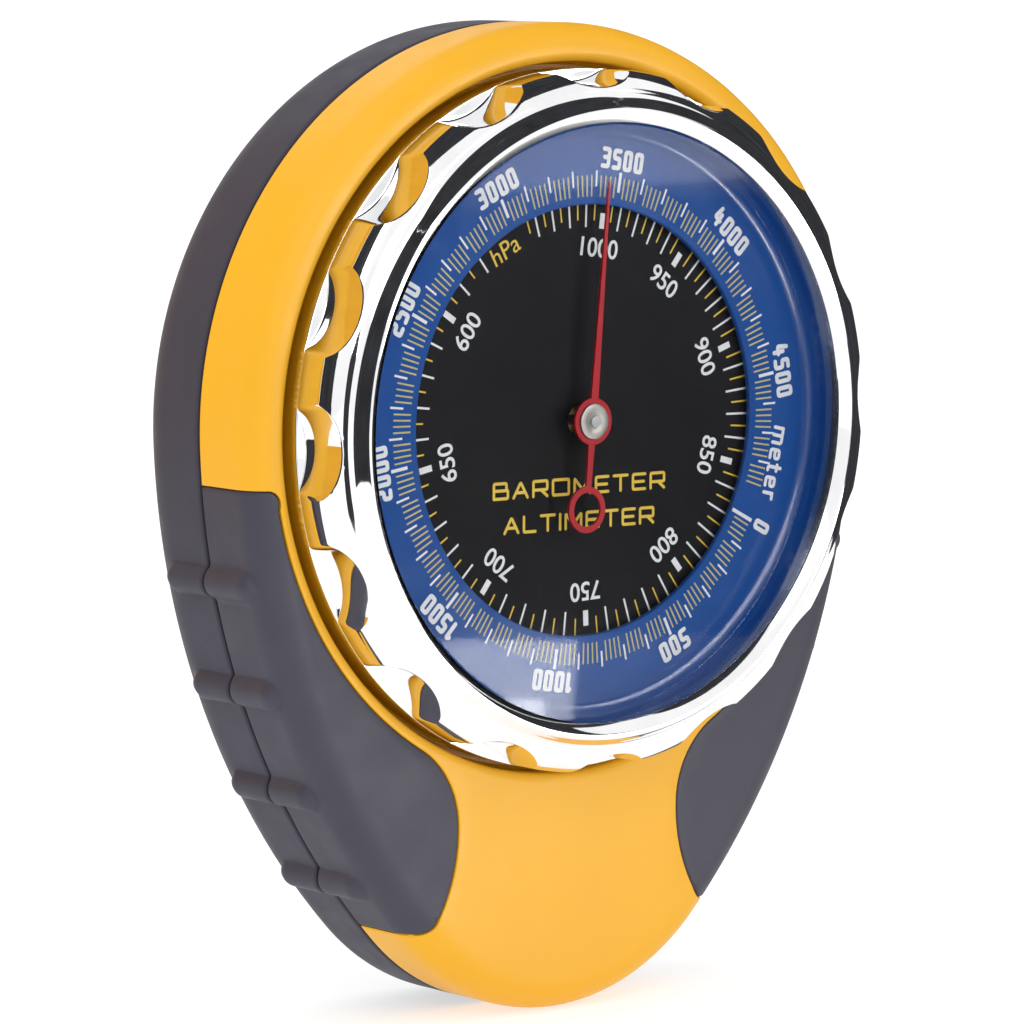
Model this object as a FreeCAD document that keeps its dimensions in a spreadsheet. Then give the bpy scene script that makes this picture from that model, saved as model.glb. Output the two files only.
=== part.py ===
import FreeCAD, Part
import math
import os
import Sketcher

# Handheld aneroid barometer-altimeter, drop-shaped casing with the wide end up.
# Frame: +Z up, +X to the right of someone reading the dial, the dial faces -Y.
# The origin lies on the pointer's axis, in the plane of the flat back face.
# Depths named "..._at" are distances in front of the back face, so they run along -Y.

SIZES = {
    # outline of the casing, four tangent arcs
    "top_radius": 30.9, "flank_radius": 61.5, "foot_radius": 19.5, "foot_bottom": 46.9,
    # casing depths
    "seam_back_at": 8.55, "seam_front_at": 8.85, "face_at": 15.9,
    "face_round": 2.6, "back_round": 4.2,
    "back_wall": 1.9, "back_floor": 1.6, "front_wall": 2.6, "front_cavity_at": 11.0,
    "gasket_inset": 0.7, "gasket_width": 1.0,
    # recess and collar that carry the bezel
    "recess_radius": 27.9, "recess_floor_at": 12.7, "recess_round": 0.7,
    "collar_outer": 24.25, "collar_inner": 22.2, "collar_top_at": 16.2,
    "collar_groove_radius": 23.65, "collar_groove_width": 1.4, "wire_at": 14.7,
    # soft grips
    "grip_depth": 1.1, "grip_top": 4.1, "grip_foot": 39.5, "grip_rim": 28.9,
    "rib_radius": 1.32, "rib_sink": 0.42, "rib_back_at": 4.6,
    # bezel, crystal and altitude ring
    "bezel_radius": 27.4, "bezel_bore": 24.6, "bezel_foot_at": 13.1,
    "shoulder_at": 18.9, "bezel_crest_at": 21.8, "bezel_crest": 24.2,
    "bezel_window": 23.3, "bevel_foot_at": 21.0, "lip_at": 20.9,
    "flute_radius": 6.4, "flute_centre": 32.8, "flute_floor_at": 16.45, "flute_draft": 5.5,
    "crystal_radius": 24.1, "crystal_back_at": 19.4, "crystal_dome": 0.6,
    "wire_ring": 24.5, "wire_radius": 0.4, "wire_seat_depth": 0.4, "wire_seat_width": 0.9,
    "ring_inner": 16.85, "ring_back_at": 17.2, "ring_face_at": 17.65, "ring_outer": 24.45,
    "ring_cove": 1.3, "ring_rim": 1.05,
    # dial
    "dial_radius": 21.8, "dial_back_at": 16.2, "dial_at": 16.8, "dial_hole": 1.2,
    # movement
    "housing_bore": 20.4, "housing_radius": 21.8, "flange_radius": 25.0, "flange_at": 10.0,
    "base_radius": 24.5, "base_at": 3.6, "base_thick": 1.0, "base_hole": 3.0, "base_hole_circle": 17.5,
    "pillar_circle": 22.9, "pillar_radius": 1.3,
    "capsule_radius": 12.0, "capsule_at": 5.6, "capsule_thick": 4.0, "diaphragm": 0.3,
    "leaf_at": 10.2, "leaf_thick": 0.5, "post_radius": 1.2, "post_top_at": 10.95,
    "plate_at": 14.6, "plate_thick": 0.8, "bridge_at": 11.2, "bridge_thick": 0.8,
    "arbor_radius": 0.45, "bearing_gap": 0.05,
    "pinion_teeth": 10, "sector_teeth": 100, "gear_module": 0.2, "gear_at": 13.0,
    "pinion_thick": 1.0, "sector_thick": 0.5, "hairspring_at": 12.3, "hairspring_width": 0.4,
    # pointer
    "pointer_at": 18.0, "pointer_thick": 0.4, "pointer_length": 18.9, "pointer_tail": 6.9,
    "pointer_hub": 1.84, "cap_radius": 1.42, "cap_top_at": 18.6, "pointer_angle": 4.5,
    # fasteners
    "screw_radius": 0.9, "head_radius": 1.7, "head_depth": 1.0,
    "pilot_depth": 3.3, "fixing_radius": 0.7, "fixing_depth": 1.4, "pillar_bore": 0.65,
    "vent_radius": 1.6, "trimmer_radius": 1.5, "trimmer_at": 1.9, "stud_radius": 1.4,
}

FLUTES = 16
FLUTE_PHASE = 2.1
RIB_HEIGHTS = (-11.5, -20.0, -28.1, -35.6)
RIB_FRONTS = (13.0, 12.8, 12.5, 12.3)
CASE_SCREWS = ((19.0, 19.0), (-19.0, 19.0), (9.0, -37.0), (-9.0, -37.0))
PILLAR_ANGLES = (90.0, 210.0, 330.0)
HOUSING_SCREW_ANGLES = (30.0, 150.0, 270.0)
HOUSING_SCREW_CIRCLE = 23.6
BASE_HOLE_ANGLES = (35.0, 145.0, 240.0, 300.0)
VENT = (0.0, -36.0)
TRIMMER = (0.0, 14.0)

doc = FreeCAD.newDocument("barometer")
sheet = doc.addObject("Spreadsheet::Sheet", "Sizes")
for row, (alias, value) in enumerate(SIZES.items(), start=1):
    sheet.set("A%d" % row, alias)
    sheet.set("B%d" % row, str(value))
    sheet.setAlias("B%d" % row, alias)
doc.recompute()


def size(name):
    return float(sheet.get(name))


def polar(radius, degrees):
    angle = math.radians(degrees)
    return radius * math.cos(angle), radius * math.sin(angle)


def vec(x, y):
    return FreeCAD.Vector(x, y, 0)


# ---------------------------------------------------------------- sketch helpers

def plane_of(body, role):
    for feature in body.Origin.OriginFeatures:
        if feature.Role == role:
            return feature
    raise ValueError(role)


def add_body(name):
    body = doc.addObject("PartDesign::Body", name)
    body.Label = name
    return body


def face_sketch(body, name, depth):
    """A sketch parallel to the dial; its x is +X, its y is +Z, its normal is -Y."""
    sketch = body.newObject("Sketcher::SketchObject", body.Name + "_" + name)
    sketch.AttachmentSupport = [(plane_of(body, "XZ_Plane"), "")]
    sketch.MapMode = "FlatFace"
    sketch.setExpression("AttachmentOffset.Base.z", depth)
    return sketch


def section_sketch(body, name):
    """A sketch in the plane through the pointer's axis; its x is +Y, its y is +Z."""
    sketch = body.newObject("Sketcher::SketchObject", body.Name + "_" + name)
    sketch.AttachmentSupport = [(plane_of(body, "YZ_Plane"), "")]
    sketch.MapMode = "FlatFace"
    return sketch


def bind_radius(sketch, index, value, expression):
    number = sketch.addConstraint(Sketcher.Constraint("Radius", index, value))
    if expression:
        sketch.setExpression("Constraints[%d]" % number, expression)


def add_circle(sketch, radius, x=0.0, y=0.0):
    """radius is the name of a size, an expression of sizes, or a number."""
    expression = None
    value = radius
    if isinstance(radius, str):
        expression = radius
        value = evaluate(radius)
    index = sketch.addGeometry(Part.Circle(vec(x, y), FreeCAD.Vector(0, 0, 1), value), False)
    bind_radius(sketch, index, value, expression)


def evaluate(expression):
    """The value of a sum or difference of sizes, written as Sizes.name + Sizes.other."""
    total = 0.0
    sign = 1.0
    for word in expression.split():
        if word in "+-":
            sign = 1.0 if word == "+" else -1.0
        elif word.startswith("Sizes."):
            total += sign * size(word[6:])
        else:
            total += sign * float(word)
    return total


def add_arc(sketch, start, middle, end):
    """The arc through three points, stored anticlockwise as a sketch wants it."""
    curve = Part.ArcOfCircle(vec(*start), vec(*middle), vec(*end))
    centre = curve.Center
    first = math.atan2(start[1] - centre.y, start[0] - centre.x)
    last = math.atan2(end[1] - centre.y, end[0] - centre.x)
    turn = (middle[0] - start[0]) * (end[1] - middle[1]) - (middle[1] - start[1]) * (end[0] - middle[0])
    if turn < 0:
        first, last = last, first
    if last < first:
        last += 2 * math.pi
    circle = Part.Circle(centre, FreeCAD.Vector(0, 0, 1), curve.Radius)
    sketch.addGeometry(Part.ArcOfCircle(circle, first, last), False)


def add_polygon(sketch, points):
    for start, end in zip(points, points[1:] + points[:1]):
        sketch.addGeometry(Part.LineSegment(vec(*start), vec(*end)), False)


def pad(body, sketch, length, reverse=False):
    feature = body.newObject("PartDesign::Pad", sketch.Name + "_pad")
    feature.Profile = sketch
    feature.setExpression("Length", length)
    feature.Reversed = reverse
    doc.recompute()
    return feature


def pocket(body, sketch, length, forward=True):
    """Cuts from the sketch towards the reader (forward) or towards the back."""
    before = body.Shape.Volume
    feature = body.newObject("PartDesign::Pocket", sketch.Name + "_pocket")
    feature.Profile = sketch
    feature.setExpression("Length", length)
    feature.Reversed = forward
    doc.recompute()
    if not body.Shape.Volume < before - 1e-6:
        raise RuntimeError("nothing cut by " + feature.Name)
    return feature


def revolve(name, points):
    """A turned piece: points are (distance in front of the back, radius)."""
    body = add_body(name)
    sketch = section_sketch(body, "profile")
    add_polygon(sketch, [(-depth, radius) for depth, radius in points])
    turned = body.newObject("PartDesign::Revolution", name + "_turned")
    turned.Profile = sketch
    turned.ReferenceAxis = (sketch, ["H_Axis"])
    turned.Angle = 360.0
    doc.recompute()
    return body


def disc(name, depth, length, radius, holes=(), hole_radius=None, x=0.0, y=0.0):
    """A flat round plate with round holes."""
    body = add_body(name)
    sketch = face_sketch(body, "outline", depth)
    add_circle(sketch, radius, x, y)
    for hole_x, hole_y in holes:
        add_circle(sketch, hole_radius, hole_x, hole_y)
    pad(body, sketch, length)
    return body


def edges_in_plane(shape, depth, reach):
    """Names of the edges that lie wholly at one depth and within a reach of the axis."""
    names = []
    for number, edge in enumerate(shape.Edges, start=1):
        box = edge.BoundBox
        flat = abs(box.YMin + depth) < 1e-4 and abs(box.YMax + depth) < 1e-4
        if flat and box.ZMin > -reach - 1e-4:
            names.append("Edge%d" % number)
    return names


def round_edges(body, depth, radius, reach=1000.0):
    """Rounds the edges at one depth; reach leaves out those farther from the axis."""
    base = body.Tip
    feature = body.newObject("PartDesign::Fillet", body.Name + "_round")
    feature.Base = (base, edges_in_plane(base.Shape, depth, reach))
    feature.setExpression("Radius", radius)
    doc.recompute()
    return feature


def combine(kind, name, objects):
    """Part::MultiFuse or Part::Cut of whole objects, under a label of its own."""
    result = doc.addObject(kind, name)
    result.Label = name
    if kind == "Part::MultiFuse":
        result.Shapes = objects
    else:
        result.Base, result.Tool = objects
    doc.recompute()
    return result


# ---------------------------------------------------------------- casing outline

def outline_frame():
    """Centres and tangent angles of the outline's arcs, right-hand side."""
    top = size("top_radius")
    flank = size("flank_radius")
    foot = size("foot_radius")
    foot_y = foot - size("foot_bottom")
    near = flank - top
    far = flank - foot
    drop = (near ** 2 - far ** 2 + foot_y ** 2) / (2 * foot_y)
    flank_x = -math.sqrt(near ** 2 - drop ** 2)
    upper = math.atan2(-drop, -flank_x)
    lower = math.atan2(foot_y - drop, -flank_x)
    return (flank_x, drop), foot_y, upper, lower


def add_outline(sketch, inset="0"):
    """The drop outline, moved inwards by an expression of sizes."""
    shift = evaluate(inset)
    (flank_x, flank_y), foot_y, upper, lower = outline_frame()
    axis = FreeCAD.Vector(0, 0, 1)

    def arc(x, y, name, start, end):
        radius = size(name) - shift
        circle = Part.Circle(vec(x, y), axis, radius)
        index = sketch.addGeometry(Part.ArcOfCircle(circle, start, end), False)
        bind_radius(sketch, index, radius, "Sizes.%s - (%s)" % (name, inset))

    arc(0, 0, "top_radius", upper, math.pi - upper)
    arc(-flank_x, flank_y, "flank_radius", math.pi - upper, math.pi - lower)
    arc(0, foot_y, "foot_radius", math.pi - lower, 2 * math.pi + lower)
    arc(flank_x, flank_y, "flank_radius", lower, upper)


def wall_point(height):
    """Half-width of the outline and the outward direction at a height on the flank."""
    (flank_x, flank_y), _, _, _ = outline_frame()
    radius = size("flank_radius")
    angle = math.asin((height - flank_y) / radius)
    return flank_x + radius * math.cos(angle), angle


# ---------------------------------------------------------------- ribs of the grips

def ribs(name, side, span):
    """Four bars along the depth on one side of the casing, each with a round tip at one end.

    span gives (flat end, round end) from the place of the rib's front end.
    """
    sink = size("rib_sink")
    pieces = []
    for number, (height, front) in enumerate(zip(RIB_HEIGHTS, RIB_FRONTS), start=1):
        half_width, angle = wall_point(height)
        start, end = span(front)
        x = side * (half_width - sink * math.cos(angle))
        z = height - sink * math.sin(angle)
        bar = doc.addObject("Part::Cylinder", "%s_bar_%d" % (name, number))
        bar.setExpression("Radius", "Sizes.rib_radius")
        bar.Height = abs(end - start)
        bar.Placement = FreeCAD.Placement(
            FreeCAD.Vector(x, -min(start, end), z), FreeCAD.Rotation(FreeCAD.Vector(1, 0, 0), 90)
        )
        tip = doc.addObject("Part::Sphere", "%s_tip_%d" % (name, number))
        tip.setExpression("Radius", "Sizes.rib_radius")
        tip.Placement.Base = FreeCAD.Vector(x, -end, z)
        pieces.append(combine("Part::MultiFuse", "%s_rib_%d" % (name, number), [bar, tip]))
    return pieces


def join_ribs(name, blank, bars):
    """Fuses the ribs to a shell; each must add the part of it that stands proud."""
    result = combine("Part::MultiFuse", name, [blank] + bars)
    proud = sum(bar.Shape.cut(blank.Shape).Volume for bar in bars)
    if abs(result.Shape.Volume - blank.Shape.Volume - proud) > 0.5:
        raise RuntimeError("a rib is missing from " + name)
    return result


# ---------------------------------------------------------------- front shell and grips

def grip_profile(sketch, side):
    """Outline of one soft grip, seen from the front."""
    rim = size("grip_rim")
    outside = size("top_radius") + 4.0
    top = -size("grip_top")
    foot = -size("grip_foot")
    rim_start = polar(rim, -11.0)
    rim_middle = polar(rim, -35.0)
    rim_end = polar(rim, -59.5)
    corner = (math.sqrt(rim ** 2 - top ** 2) + 0.9, top)
    waist = (11.1, -30.6)
    hip = (12.9, -38.2)
    heel = (15.1, foot)

    def at(point):
        return side * point[0], point[1]

    def arc(start, middle, end):
        add_arc(sketch, at(start), at(middle), at(end))

    def line(start, end):
        sketch.addGeometry(Part.LineSegment(vec(*at(start)), vec(*at(end))), False)

    line((outside, top), corner)
    arc(corner, (corner[0] - 1.0, top - 0.42), rim_start)
    arc(rim_start, rim_middle, rim_end)
    arc(rim_end, (12.1, -27.5), waist)
    arc(waist, (11.4, -34.4), hip)
    arc(hip, (13.7, -39.2), heel)
    line(heel, (outside, foot))
    line((outside, foot), (outside, top))


def front_solid(body):
    """The full outer form of the front half."""
    sketch = face_sketch(body, "form", "Sizes.seam_front_at")
    add_outline(sketch)
    pad(body, sketch, "Sizes.face_at - Sizes.seam_front_at")
    round_edges(body, size("face_at"), "Sizes.face_round")


def make_grip(name, side):
    blank = add_body(name + "_skin")
    front_solid(blank)
    core = face_sketch(blank, "core", "Sizes.seam_front_at")
    add_outline(core, "Sizes.grip_depth")
    pocket(blank, core, "Sizes.face_at - Sizes.seam_front_at - Sizes.grip_depth")
    trim = face_sketch(blank, "trim", "Sizes.seam_front_at")
    reach = size("foot_bottom") + 5.0
    add_polygon(trim, [(-reach, -reach), (reach, -reach), (reach, reach), (-reach, reach)])
    grip_profile(trim, side)
    pocket(blank, trim, "Sizes.face_at")
    seam = size("seam_front_at")
    return join_ribs(name, blank, ribs(name, side, lambda front: (seam, front)))


def make_front_shell(grips):
    blank = add_body("front_shell_blank")
    front_solid(blank)
    cavity = face_sketch(blank, "cavity", "Sizes.seam_front_at")
    add_outline(cavity, "Sizes.front_wall")
    pocket(blank, cavity, "Sizes.front_cavity_at - Sizes.seam_front_at")
    bosses = face_sketch(blank, "bosses", "Sizes.seam_front_at")
    for x, y in CASE_SCREWS:
        add_circle(bosses, "Sizes.head_radius", x, y)
    pad(blank, bosses, "Sizes.front_cavity_at - Sizes.seam_front_at")
    opening = face_sketch(blank, "opening", "0")
    add_circle(opening, "Sizes.collar_inner")
    pocket(blank, opening, "Sizes.face_at")
    recess = face_sketch(blank, "recess", "Sizes.recess_floor_at")
    add_circle(recess, "Sizes.recess_radius")
    add_circle(recess, "Sizes.collar_inner")
    pocket(blank, recess, "Sizes.face_at")
    collar = face_sketch(blank, "collar", "Sizes.recess_floor_at")
    add_circle(collar, "Sizes.collar_outer")
    add_circle(collar, "Sizes.collar_inner")
    pad(blank, collar, "Sizes.collar_top_at - Sizes.recess_floor_at")
    round_edges(blank, size("face_at"), "Sizes.recess_round", size("recess_radius"))
    groove = face_sketch(blank, "groove", "Sizes.wire_at - 0.7")
    add_circle(groove, "Sizes.collar_outer + 0.5")
    add_circle(groove, "Sizes.collar_groove_radius")
    pocket(blank, groove, "Sizes.collar_groove_width")
    pilots = face_sketch(blank, "pilots", "Sizes.seam_front_at")
    for x, y in CASE_SCREWS:
        add_circle(pilots, "Sizes.screw_radius", x, y)
    pocket(blank, pilots, "Sizes.pilot_depth")
    fixings = face_sketch(blank, "fixings", "Sizes.front_cavity_at")
    for x, y in HOUSING_SCREWS:
        add_circle(fixings, "Sizes.fixing_radius", x, y)
    pocket(blank, fixings, "Sizes.fixing_depth")
    tool = combine("Part::MultiFuse", "grip_beds", grips)
    return combine("Part::Cut", "front_shell", [blank, tool])


# ---------------------------------------------------------------- back shell

def make_back_shell():
    blank = add_body("back_shell_blank")
    form = face_sketch(blank, "form", "0")
    add_outline(form)
    pad(blank, form, "Sizes.seam_back_at")
    round_edges(blank, 0.0, "Sizes.back_round")
    cavity = face_sketch(blank, "cavity", "Sizes.back_floor")
    add_outline(cavity, "Sizes.back_wall + 1.2")
    pocket(blank, cavity, "Sizes.seam_back_at")
    mouth = face_sketch(blank, "mouth", "Sizes.back_floor + 2.2")
    add_outline(mouth, "Sizes.back_wall")
    pocket(blank, mouth, "Sizes.seam_back_at")
    bosses = face_sketch(blank, "bosses", "Sizes.back_floor")
    for x, y in CASE_SCREWS:
        add_circle(bosses, "Sizes.head_radius + 0.6", x, y)
    pad(blank, bosses, "Sizes.seam_back_at - Sizes.back_floor")
    sinks = face_sketch(blank, "sinks", "0")
    for x, y in CASE_SCREWS:
        add_circle(sinks, "Sizes.head_radius + 0.15", x, y)
    pocket(blank, sinks, "1.4")
    bores = face_sketch(blank, "bores", "0")
    for x, y in CASE_SCREWS:
        add_circle(bores, "Sizes.screw_radius + 0.1", x, y)
    pocket(blank, bores, "Sizes.seam_back_at")
    ports = face_sketch(blank, "ports", "0")
    add_circle(ports, "Sizes.vent_radius", *VENT)
    add_circle(ports, "Sizes.trimmer_radius + 0.3", *TRIMMER)
    pocket(blank, ports, "Sizes.back_floor")
    back = size("rib_back_at")
    seam = size("seam_back_at")
    bars = []
    for side, word in ((-1, "left"), (1, "right")):
        bars += ribs("back_rib_" + word, side, lambda front: (seam, back))
    return join_ribs("back_shell", blank, bars)


def make_seam_gasket():
    body = add_body("seam_gasket")
    sketch = face_sketch(body, "band", "Sizes.seam_back_at")
    add_outline(sketch, "Sizes.gasket_inset")
    add_outline(sketch, "Sizes.gasket_inset + Sizes.gasket_width")
    pad(body, sketch, "Sizes.seam_front_at - Sizes.seam_back_at")
    return body


# ---------------------------------------------------------------- screws

def make_screws(name, places, head_at, tip_at, shank="Sizes.screw_radius", head="Sizes.head_radius"):
    """Identical pan-head screws driven from the back, with a slot across each head."""
    body = add_body(name)
    heads = face_sketch(body, "heads", head_at)
    for x, y in places:
        add_circle(heads, head, x, y)
    pad(body, heads, "Sizes.head_depth")
    shanks = face_sketch(body, "shanks", head_at + " + Sizes.head_depth")
    for x, y in places:
        add_circle(shanks, shank, x, y)
    pad(body, shanks, "%s - (%s + Sizes.head_depth)" % (tip_at, head_at))
    slots = face_sketch(body, "slots", head_at)
    half_length = evaluate(head) * 0.8
    for x, y in places:
        add_polygon(slots, [(x - half_length, y - 0.2), (x + half_length, y - 0.2),
                            (x + half_length, y + 0.2), (x - half_length, y + 0.2)])
    pocket(body, slots, "0.5")
    return body


# ---------------------------------------------------------------- bezel group

def make_bezel():
    shoulder_at = size("shoulder_at")
    radius = size("bezel_radius")
    crest = size("bezel_crest")
    crest_at = size("bezel_crest_at")
    bore = size("bezel_bore")
    window = size("bezel_window")
    lip_at = size("lip_at")
    foot_at = size("bezel_foot_at")
    body = add_body("bezel_ring")
    sketch = section_sketch(body, "profile")
    # outer wall, sloping shoulder, hollow rise to the crest, bevel down to the window, lip, bore
    points = [
        (foot_at, bore), (foot_at, radius), (shoulder_at, radius), (shoulder_at + 0.4, radius - 0.1),
        (shoulder_at + 0.85, radius - 0.4), (shoulder_at + 1.25, radius - 0.9),
        (shoulder_at + 1.5, radius - 1.4), (crest_at - 1.25, crest + 1.3),
        (crest_at - 0.95, crest + 0.9), (crest_at - 0.55, crest + 0.6),
        (crest_at - 0.15, crest + 0.3), (crest_at, crest + 0.05), (crest_at - 0.06, crest - 0.12),
        (size("bevel_foot_at"), window), (lip_at, window), (lip_at, bore),
    ]
    add_polygon(sketch, [(-depth, height) for depth, height in points])
    turned = body.newObject("PartDesign::Revolution", "bezel_turned")
    turned.Profile = sketch
    turned.ReferenceAxis = (sketch, ["H_Axis"])
    turned.Angle = 360.0
    doc.recompute()
    seat = section_sketch(body, "wire_seat")
    wire_at = size("wire_at")
    half_seat = size("wire_seat_width") / 2
    seat_top = bore + size("wire_seat_depth")
    add_polygon(seat, [(-wire_at - half_seat, bore - 0.1), (-wire_at + half_seat, bore - 0.1),
                       (-wire_at + half_seat, seat_top), (-wire_at - half_seat, seat_top)])
    groove = body.newObject("PartDesign::Groove", "bezel_wire_groove")
    groove.Profile = seat
    groove.ReferenceAxis = (seat, ["H_Axis"])
    groove.Angle = 360.0
    doc.recompute()
    flute = face_sketch(body, "flute", "Sizes.flute_floor_at")
    add_circle(flute, "Sizes.flute_radius", *polar(size("flute_centre"), FLUTE_PHASE))
    cut = pocket(body, flute, "Sizes.bezel_crest_at - Sizes.flute_floor_at + 1")
    cut.setExpression("TaperAngle", "Sizes.flute_draft")
    doc.recompute()
    pattern = body.newObject("PartDesign::PolarPattern", "bezel_flutes")
    pattern.Originals = [cut]
    pattern.Axis = (flute, ["N_Axis"])
    pattern.Angle = 360.0
    pattern.Occurrences = FLUTES
    body.Tip = pattern
    doc.recompute()
    return body


def make_crystal():
    """Round window with a stepped rim and a domed front, the dome centred on the axis."""
    back_at = size("crystal_back_at")
    edge_at = size("lip_at")
    radius = size("crystal_radius")
    dome = size("crystal_dome")
    window = size("bezel_window") - 0.15
    dome_radius = (window ** 2 + dome ** 2) / (2 * dome)
    body = add_body("crystal")
    sketch = section_sketch(body, "profile")
    corners = [(-edge_at - dome, 0.0), (-back_at, 0.0), (-back_at, radius), (-edge_at, radius),
               (-edge_at, window)]
    for start, end in zip(corners, corners[1:]):
        sketch.addGeometry(Part.LineSegment(vec(*start), vec(*end)), False)
    circle = Part.Circle(vec(dome_radius - edge_at - dome, 0), FreeCAD.Vector(0, 0, 1), dome_radius)
    rim_angle = math.pi - math.asin(window / dome_radius)
    sketch.addGeometry(Part.ArcOfCircle(circle, rim_angle, math.pi), False)
    turned = body.newObject("PartDesign::Revolution", "crystal_turned")
    turned.Profile = sketch
    turned.ReferenceAxis = (sketch, ["H_Axis"])
    turned.Angle = 360.0
    doc.recompute()
    return body


def make_crystal_gasket():
    back_at = size("crystal_back_at")
    inner = size("crystal_radius")
    outer = size("bezel_bore")
    front_at = size("lip_at")
    return revolve("crystal_gasket", [(back_at, inner), (back_at, outer),
                                      (front_at, outer), (front_at, inner)])


def make_altitude_ring():
    back_at = size("ring_back_at")
    face_at = size("ring_face_at")
    top_at = size("crystal_back_at")
    inner = size("ring_inner")
    outer = size("ring_outer")
    cove = size("ring_cove")
    start = outer - size("ring_rim") - cove
    points = [(back_at, inner), (face_at, inner), (face_at, start)]
    for step in range(1, 7):
        angle = math.radians(15.0 * step)
        points.append((face_at + cove * (1 - math.cos(angle)), start + cove * math.sin(angle)))
    points += [(top_at, start + cove), (top_at, outer), (back_at, outer)]
    return revolve("altitude_ring", points)


def make_snap_wire():
    """Round spring wire that snaps between the bezel's groove and the collar's."""
    ring = doc.addObject("Part::Torus", "snap_wire")
    ring.Label = "snap_wire"
    ring.setExpression("Radius1", "Sizes.wire_ring")
    ring.setExpression("Radius2", "Sizes.wire_radius")
    ring.Placement = FreeCAD.Placement(
        FreeCAD.Vector(0, -size("wire_at"), 0), FreeCAD.Rotation(FreeCAD.Vector(1, 0, 0), 90)
    )
    doc.recompute()
    return ring


# ---------------------------------------------------------------- movement, fixed pieces

def ring_places(name, angles):
    return [polar(size(name), angle) for angle in angles]


PILLARS = ring_places("pillar_circle", PILLAR_ANGLES)
HOUSING_SCREWS = [polar(HOUSING_SCREW_CIRCLE, angle) for angle in HOUSING_SCREW_ANGLES]
SECTOR_PIVOT = (0.0, -(size("pinion_teeth") + size("sector_teeth")) * size("gear_module") / 2 - 0.06)
ROCKER_X = -3.2
ROCKER_AT = 9.4
BRIDGE_POSTS = ((-9.0, 0.0), (9.0, 0.0))


def make_housing():
    body = add_body("movement_housing")
    flange = face_sketch(body, "flange", "Sizes.flange_at")
    add_circle(flange, "Sizes.flange_radius")
    add_circle(flange, "Sizes.housing_bore")
    for x, y in HOUSING_SCREWS:
        add_circle(flange, "Sizes.fixing_radius", x, y)
    for x, y in PILLARS:
        add_circle(flange, 0.6, x, y)
    pad(body, flange, "Sizes.front_cavity_at - Sizes.flange_at")
    wall = face_sketch(body, "wall", "Sizes.front_cavity_at")
    add_circle(wall, "Sizes.housing_radius")
    add_circle(wall, "Sizes.housing_bore")
    pad(body, wall, "Sizes.dial_back_at - Sizes.front_cavity_at")
    return body


def make_base_plate():
    body = add_body("base_plate")
    sketch = face_sketch(body, "outline", "Sizes.base_at")
    add_circle(sketch, "Sizes.base_radius")
    add_circle(sketch, "Sizes.stud_radius")
    add_circle(sketch, "Sizes.trimmer_radius", *TRIMMER)
    for x, y in PILLARS:
        add_circle(sketch, "Sizes.pillar_bore", x, y)
    for place in ring_places("base_hole_circle", BASE_HOLE_ANGLES):
        add_circle(sketch, "Sizes.base_hole", *place)
    pad(body, sketch, "Sizes.base_thick")
    return body


def make_pillars():
    body = add_body("pillars")
    sketch = face_sketch(body, "section", "Sizes.base_at + Sizes.base_thick")
    for x, y in PILLARS:
        add_circle(sketch, "Sizes.pillar_radius", x, y)
        add_circle(sketch, "Sizes.pillar_bore", x, y)
    pad(body, sketch, "Sizes.flange_at - Sizes.base_at - Sizes.base_thick")
    return body


def make_diaphragm(name, direction):
    """One corrugated half of the aneroid capsule; direction is +1 for the front half."""
    middle = size("capsule_at") + size("capsule_thick") / 2
    radius = size("capsule_radius")
    thick = size("diaphragm")
    rise = size("capsule_thick") / 2 - thick
    waves = 3
    crown = []
    for step in range(2 * waves + 1):
        height = rise if step % 2 == 0 else rise - 0.45
        crown.append((height, 3.0 + step * 1.2))
    line = [(rise, 0.0)] + crown + [(0.15, radius - 0.4), (0.0, radius)]
    outer = [(middle + direction * (height + thick), place) for height, place in line[:-1]]
    inner = [(middle + direction * max(height, 0.0), place) for height, place in line]
    rim = [(middle + direction * thick, radius)]
    return revolve(name, outer + rim + inner[::-1])


def make_trimmer():
    """Slotted screw that tilts the mainspring's foot, reached through the back."""
    body = add_body("trimmer_screw")
    sketch = face_sketch(body, "section", "Sizes.trimmer_at")
    add_circle(sketch, "Sizes.trimmer_radius", *TRIMMER)
    pad(body, sketch, "Sizes.base_at + Sizes.base_thick - Sizes.trimmer_at")
    slot = face_sketch(body, "slot", "Sizes.trimmer_at")
    x, y = TRIMMER
    add_polygon(slot, [(x - 1.7, y - 0.25), (x + 1.7, y - 0.25), (x + 1.7, y + 0.25), (x - 1.7, y + 0.25)])
    pocket(body, slot, "0.5")
    return body


def make_capsule_stud():
    """Stud that holds the capsule's rear half to the base plate, with its head behind."""
    head_at = size("base_at") - 1.0
    return revolve("capsule_stud", [
        (head_at, 0.0), (head_at, 2.4), (size("base_at"), 2.4),
        (size("base_at"), size("stud_radius")), (size("capsule_at"), size("stud_radius")),
        (size("capsule_at"), 0.0)])


def make_mainspring():
    """Leaf spring that arches over the capsule and holds it open."""
    foot_at = size("base_at") + size("base_thick")
    leaf_at = size("leaf_at")
    thick = size("leaf_thick")
    back_z = 15.5
    end_z = -12.9
    body = add_body("mainspring")
    sketch = section_sketch(body, "side")
    path = [(foot_at, back_z - 3.0), (foot_at, back_z), (leaf_at + thick, back_z),
            (leaf_at + thick, end_z), (leaf_at, end_z), (leaf_at, back_z - thick),
            (foot_at + thick, back_z - thick), (foot_at + thick, back_z - 3.0)]
    add_polygon(sketch, [(-depth, height) for depth, height in path])
    feature = body.newObject("PartDesign::Pad", "mainspring_pad")
    feature.Profile = sketch
    feature.Length = 13.0
    feature.Midplane = True
    doc.recompute()
    relief = face_sketch(body, "relief", str(leaf_at - 0.5))
    add_circle(relief, "Sizes.post_radius")
    pocket(body, relief, "2")
    return body


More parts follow.
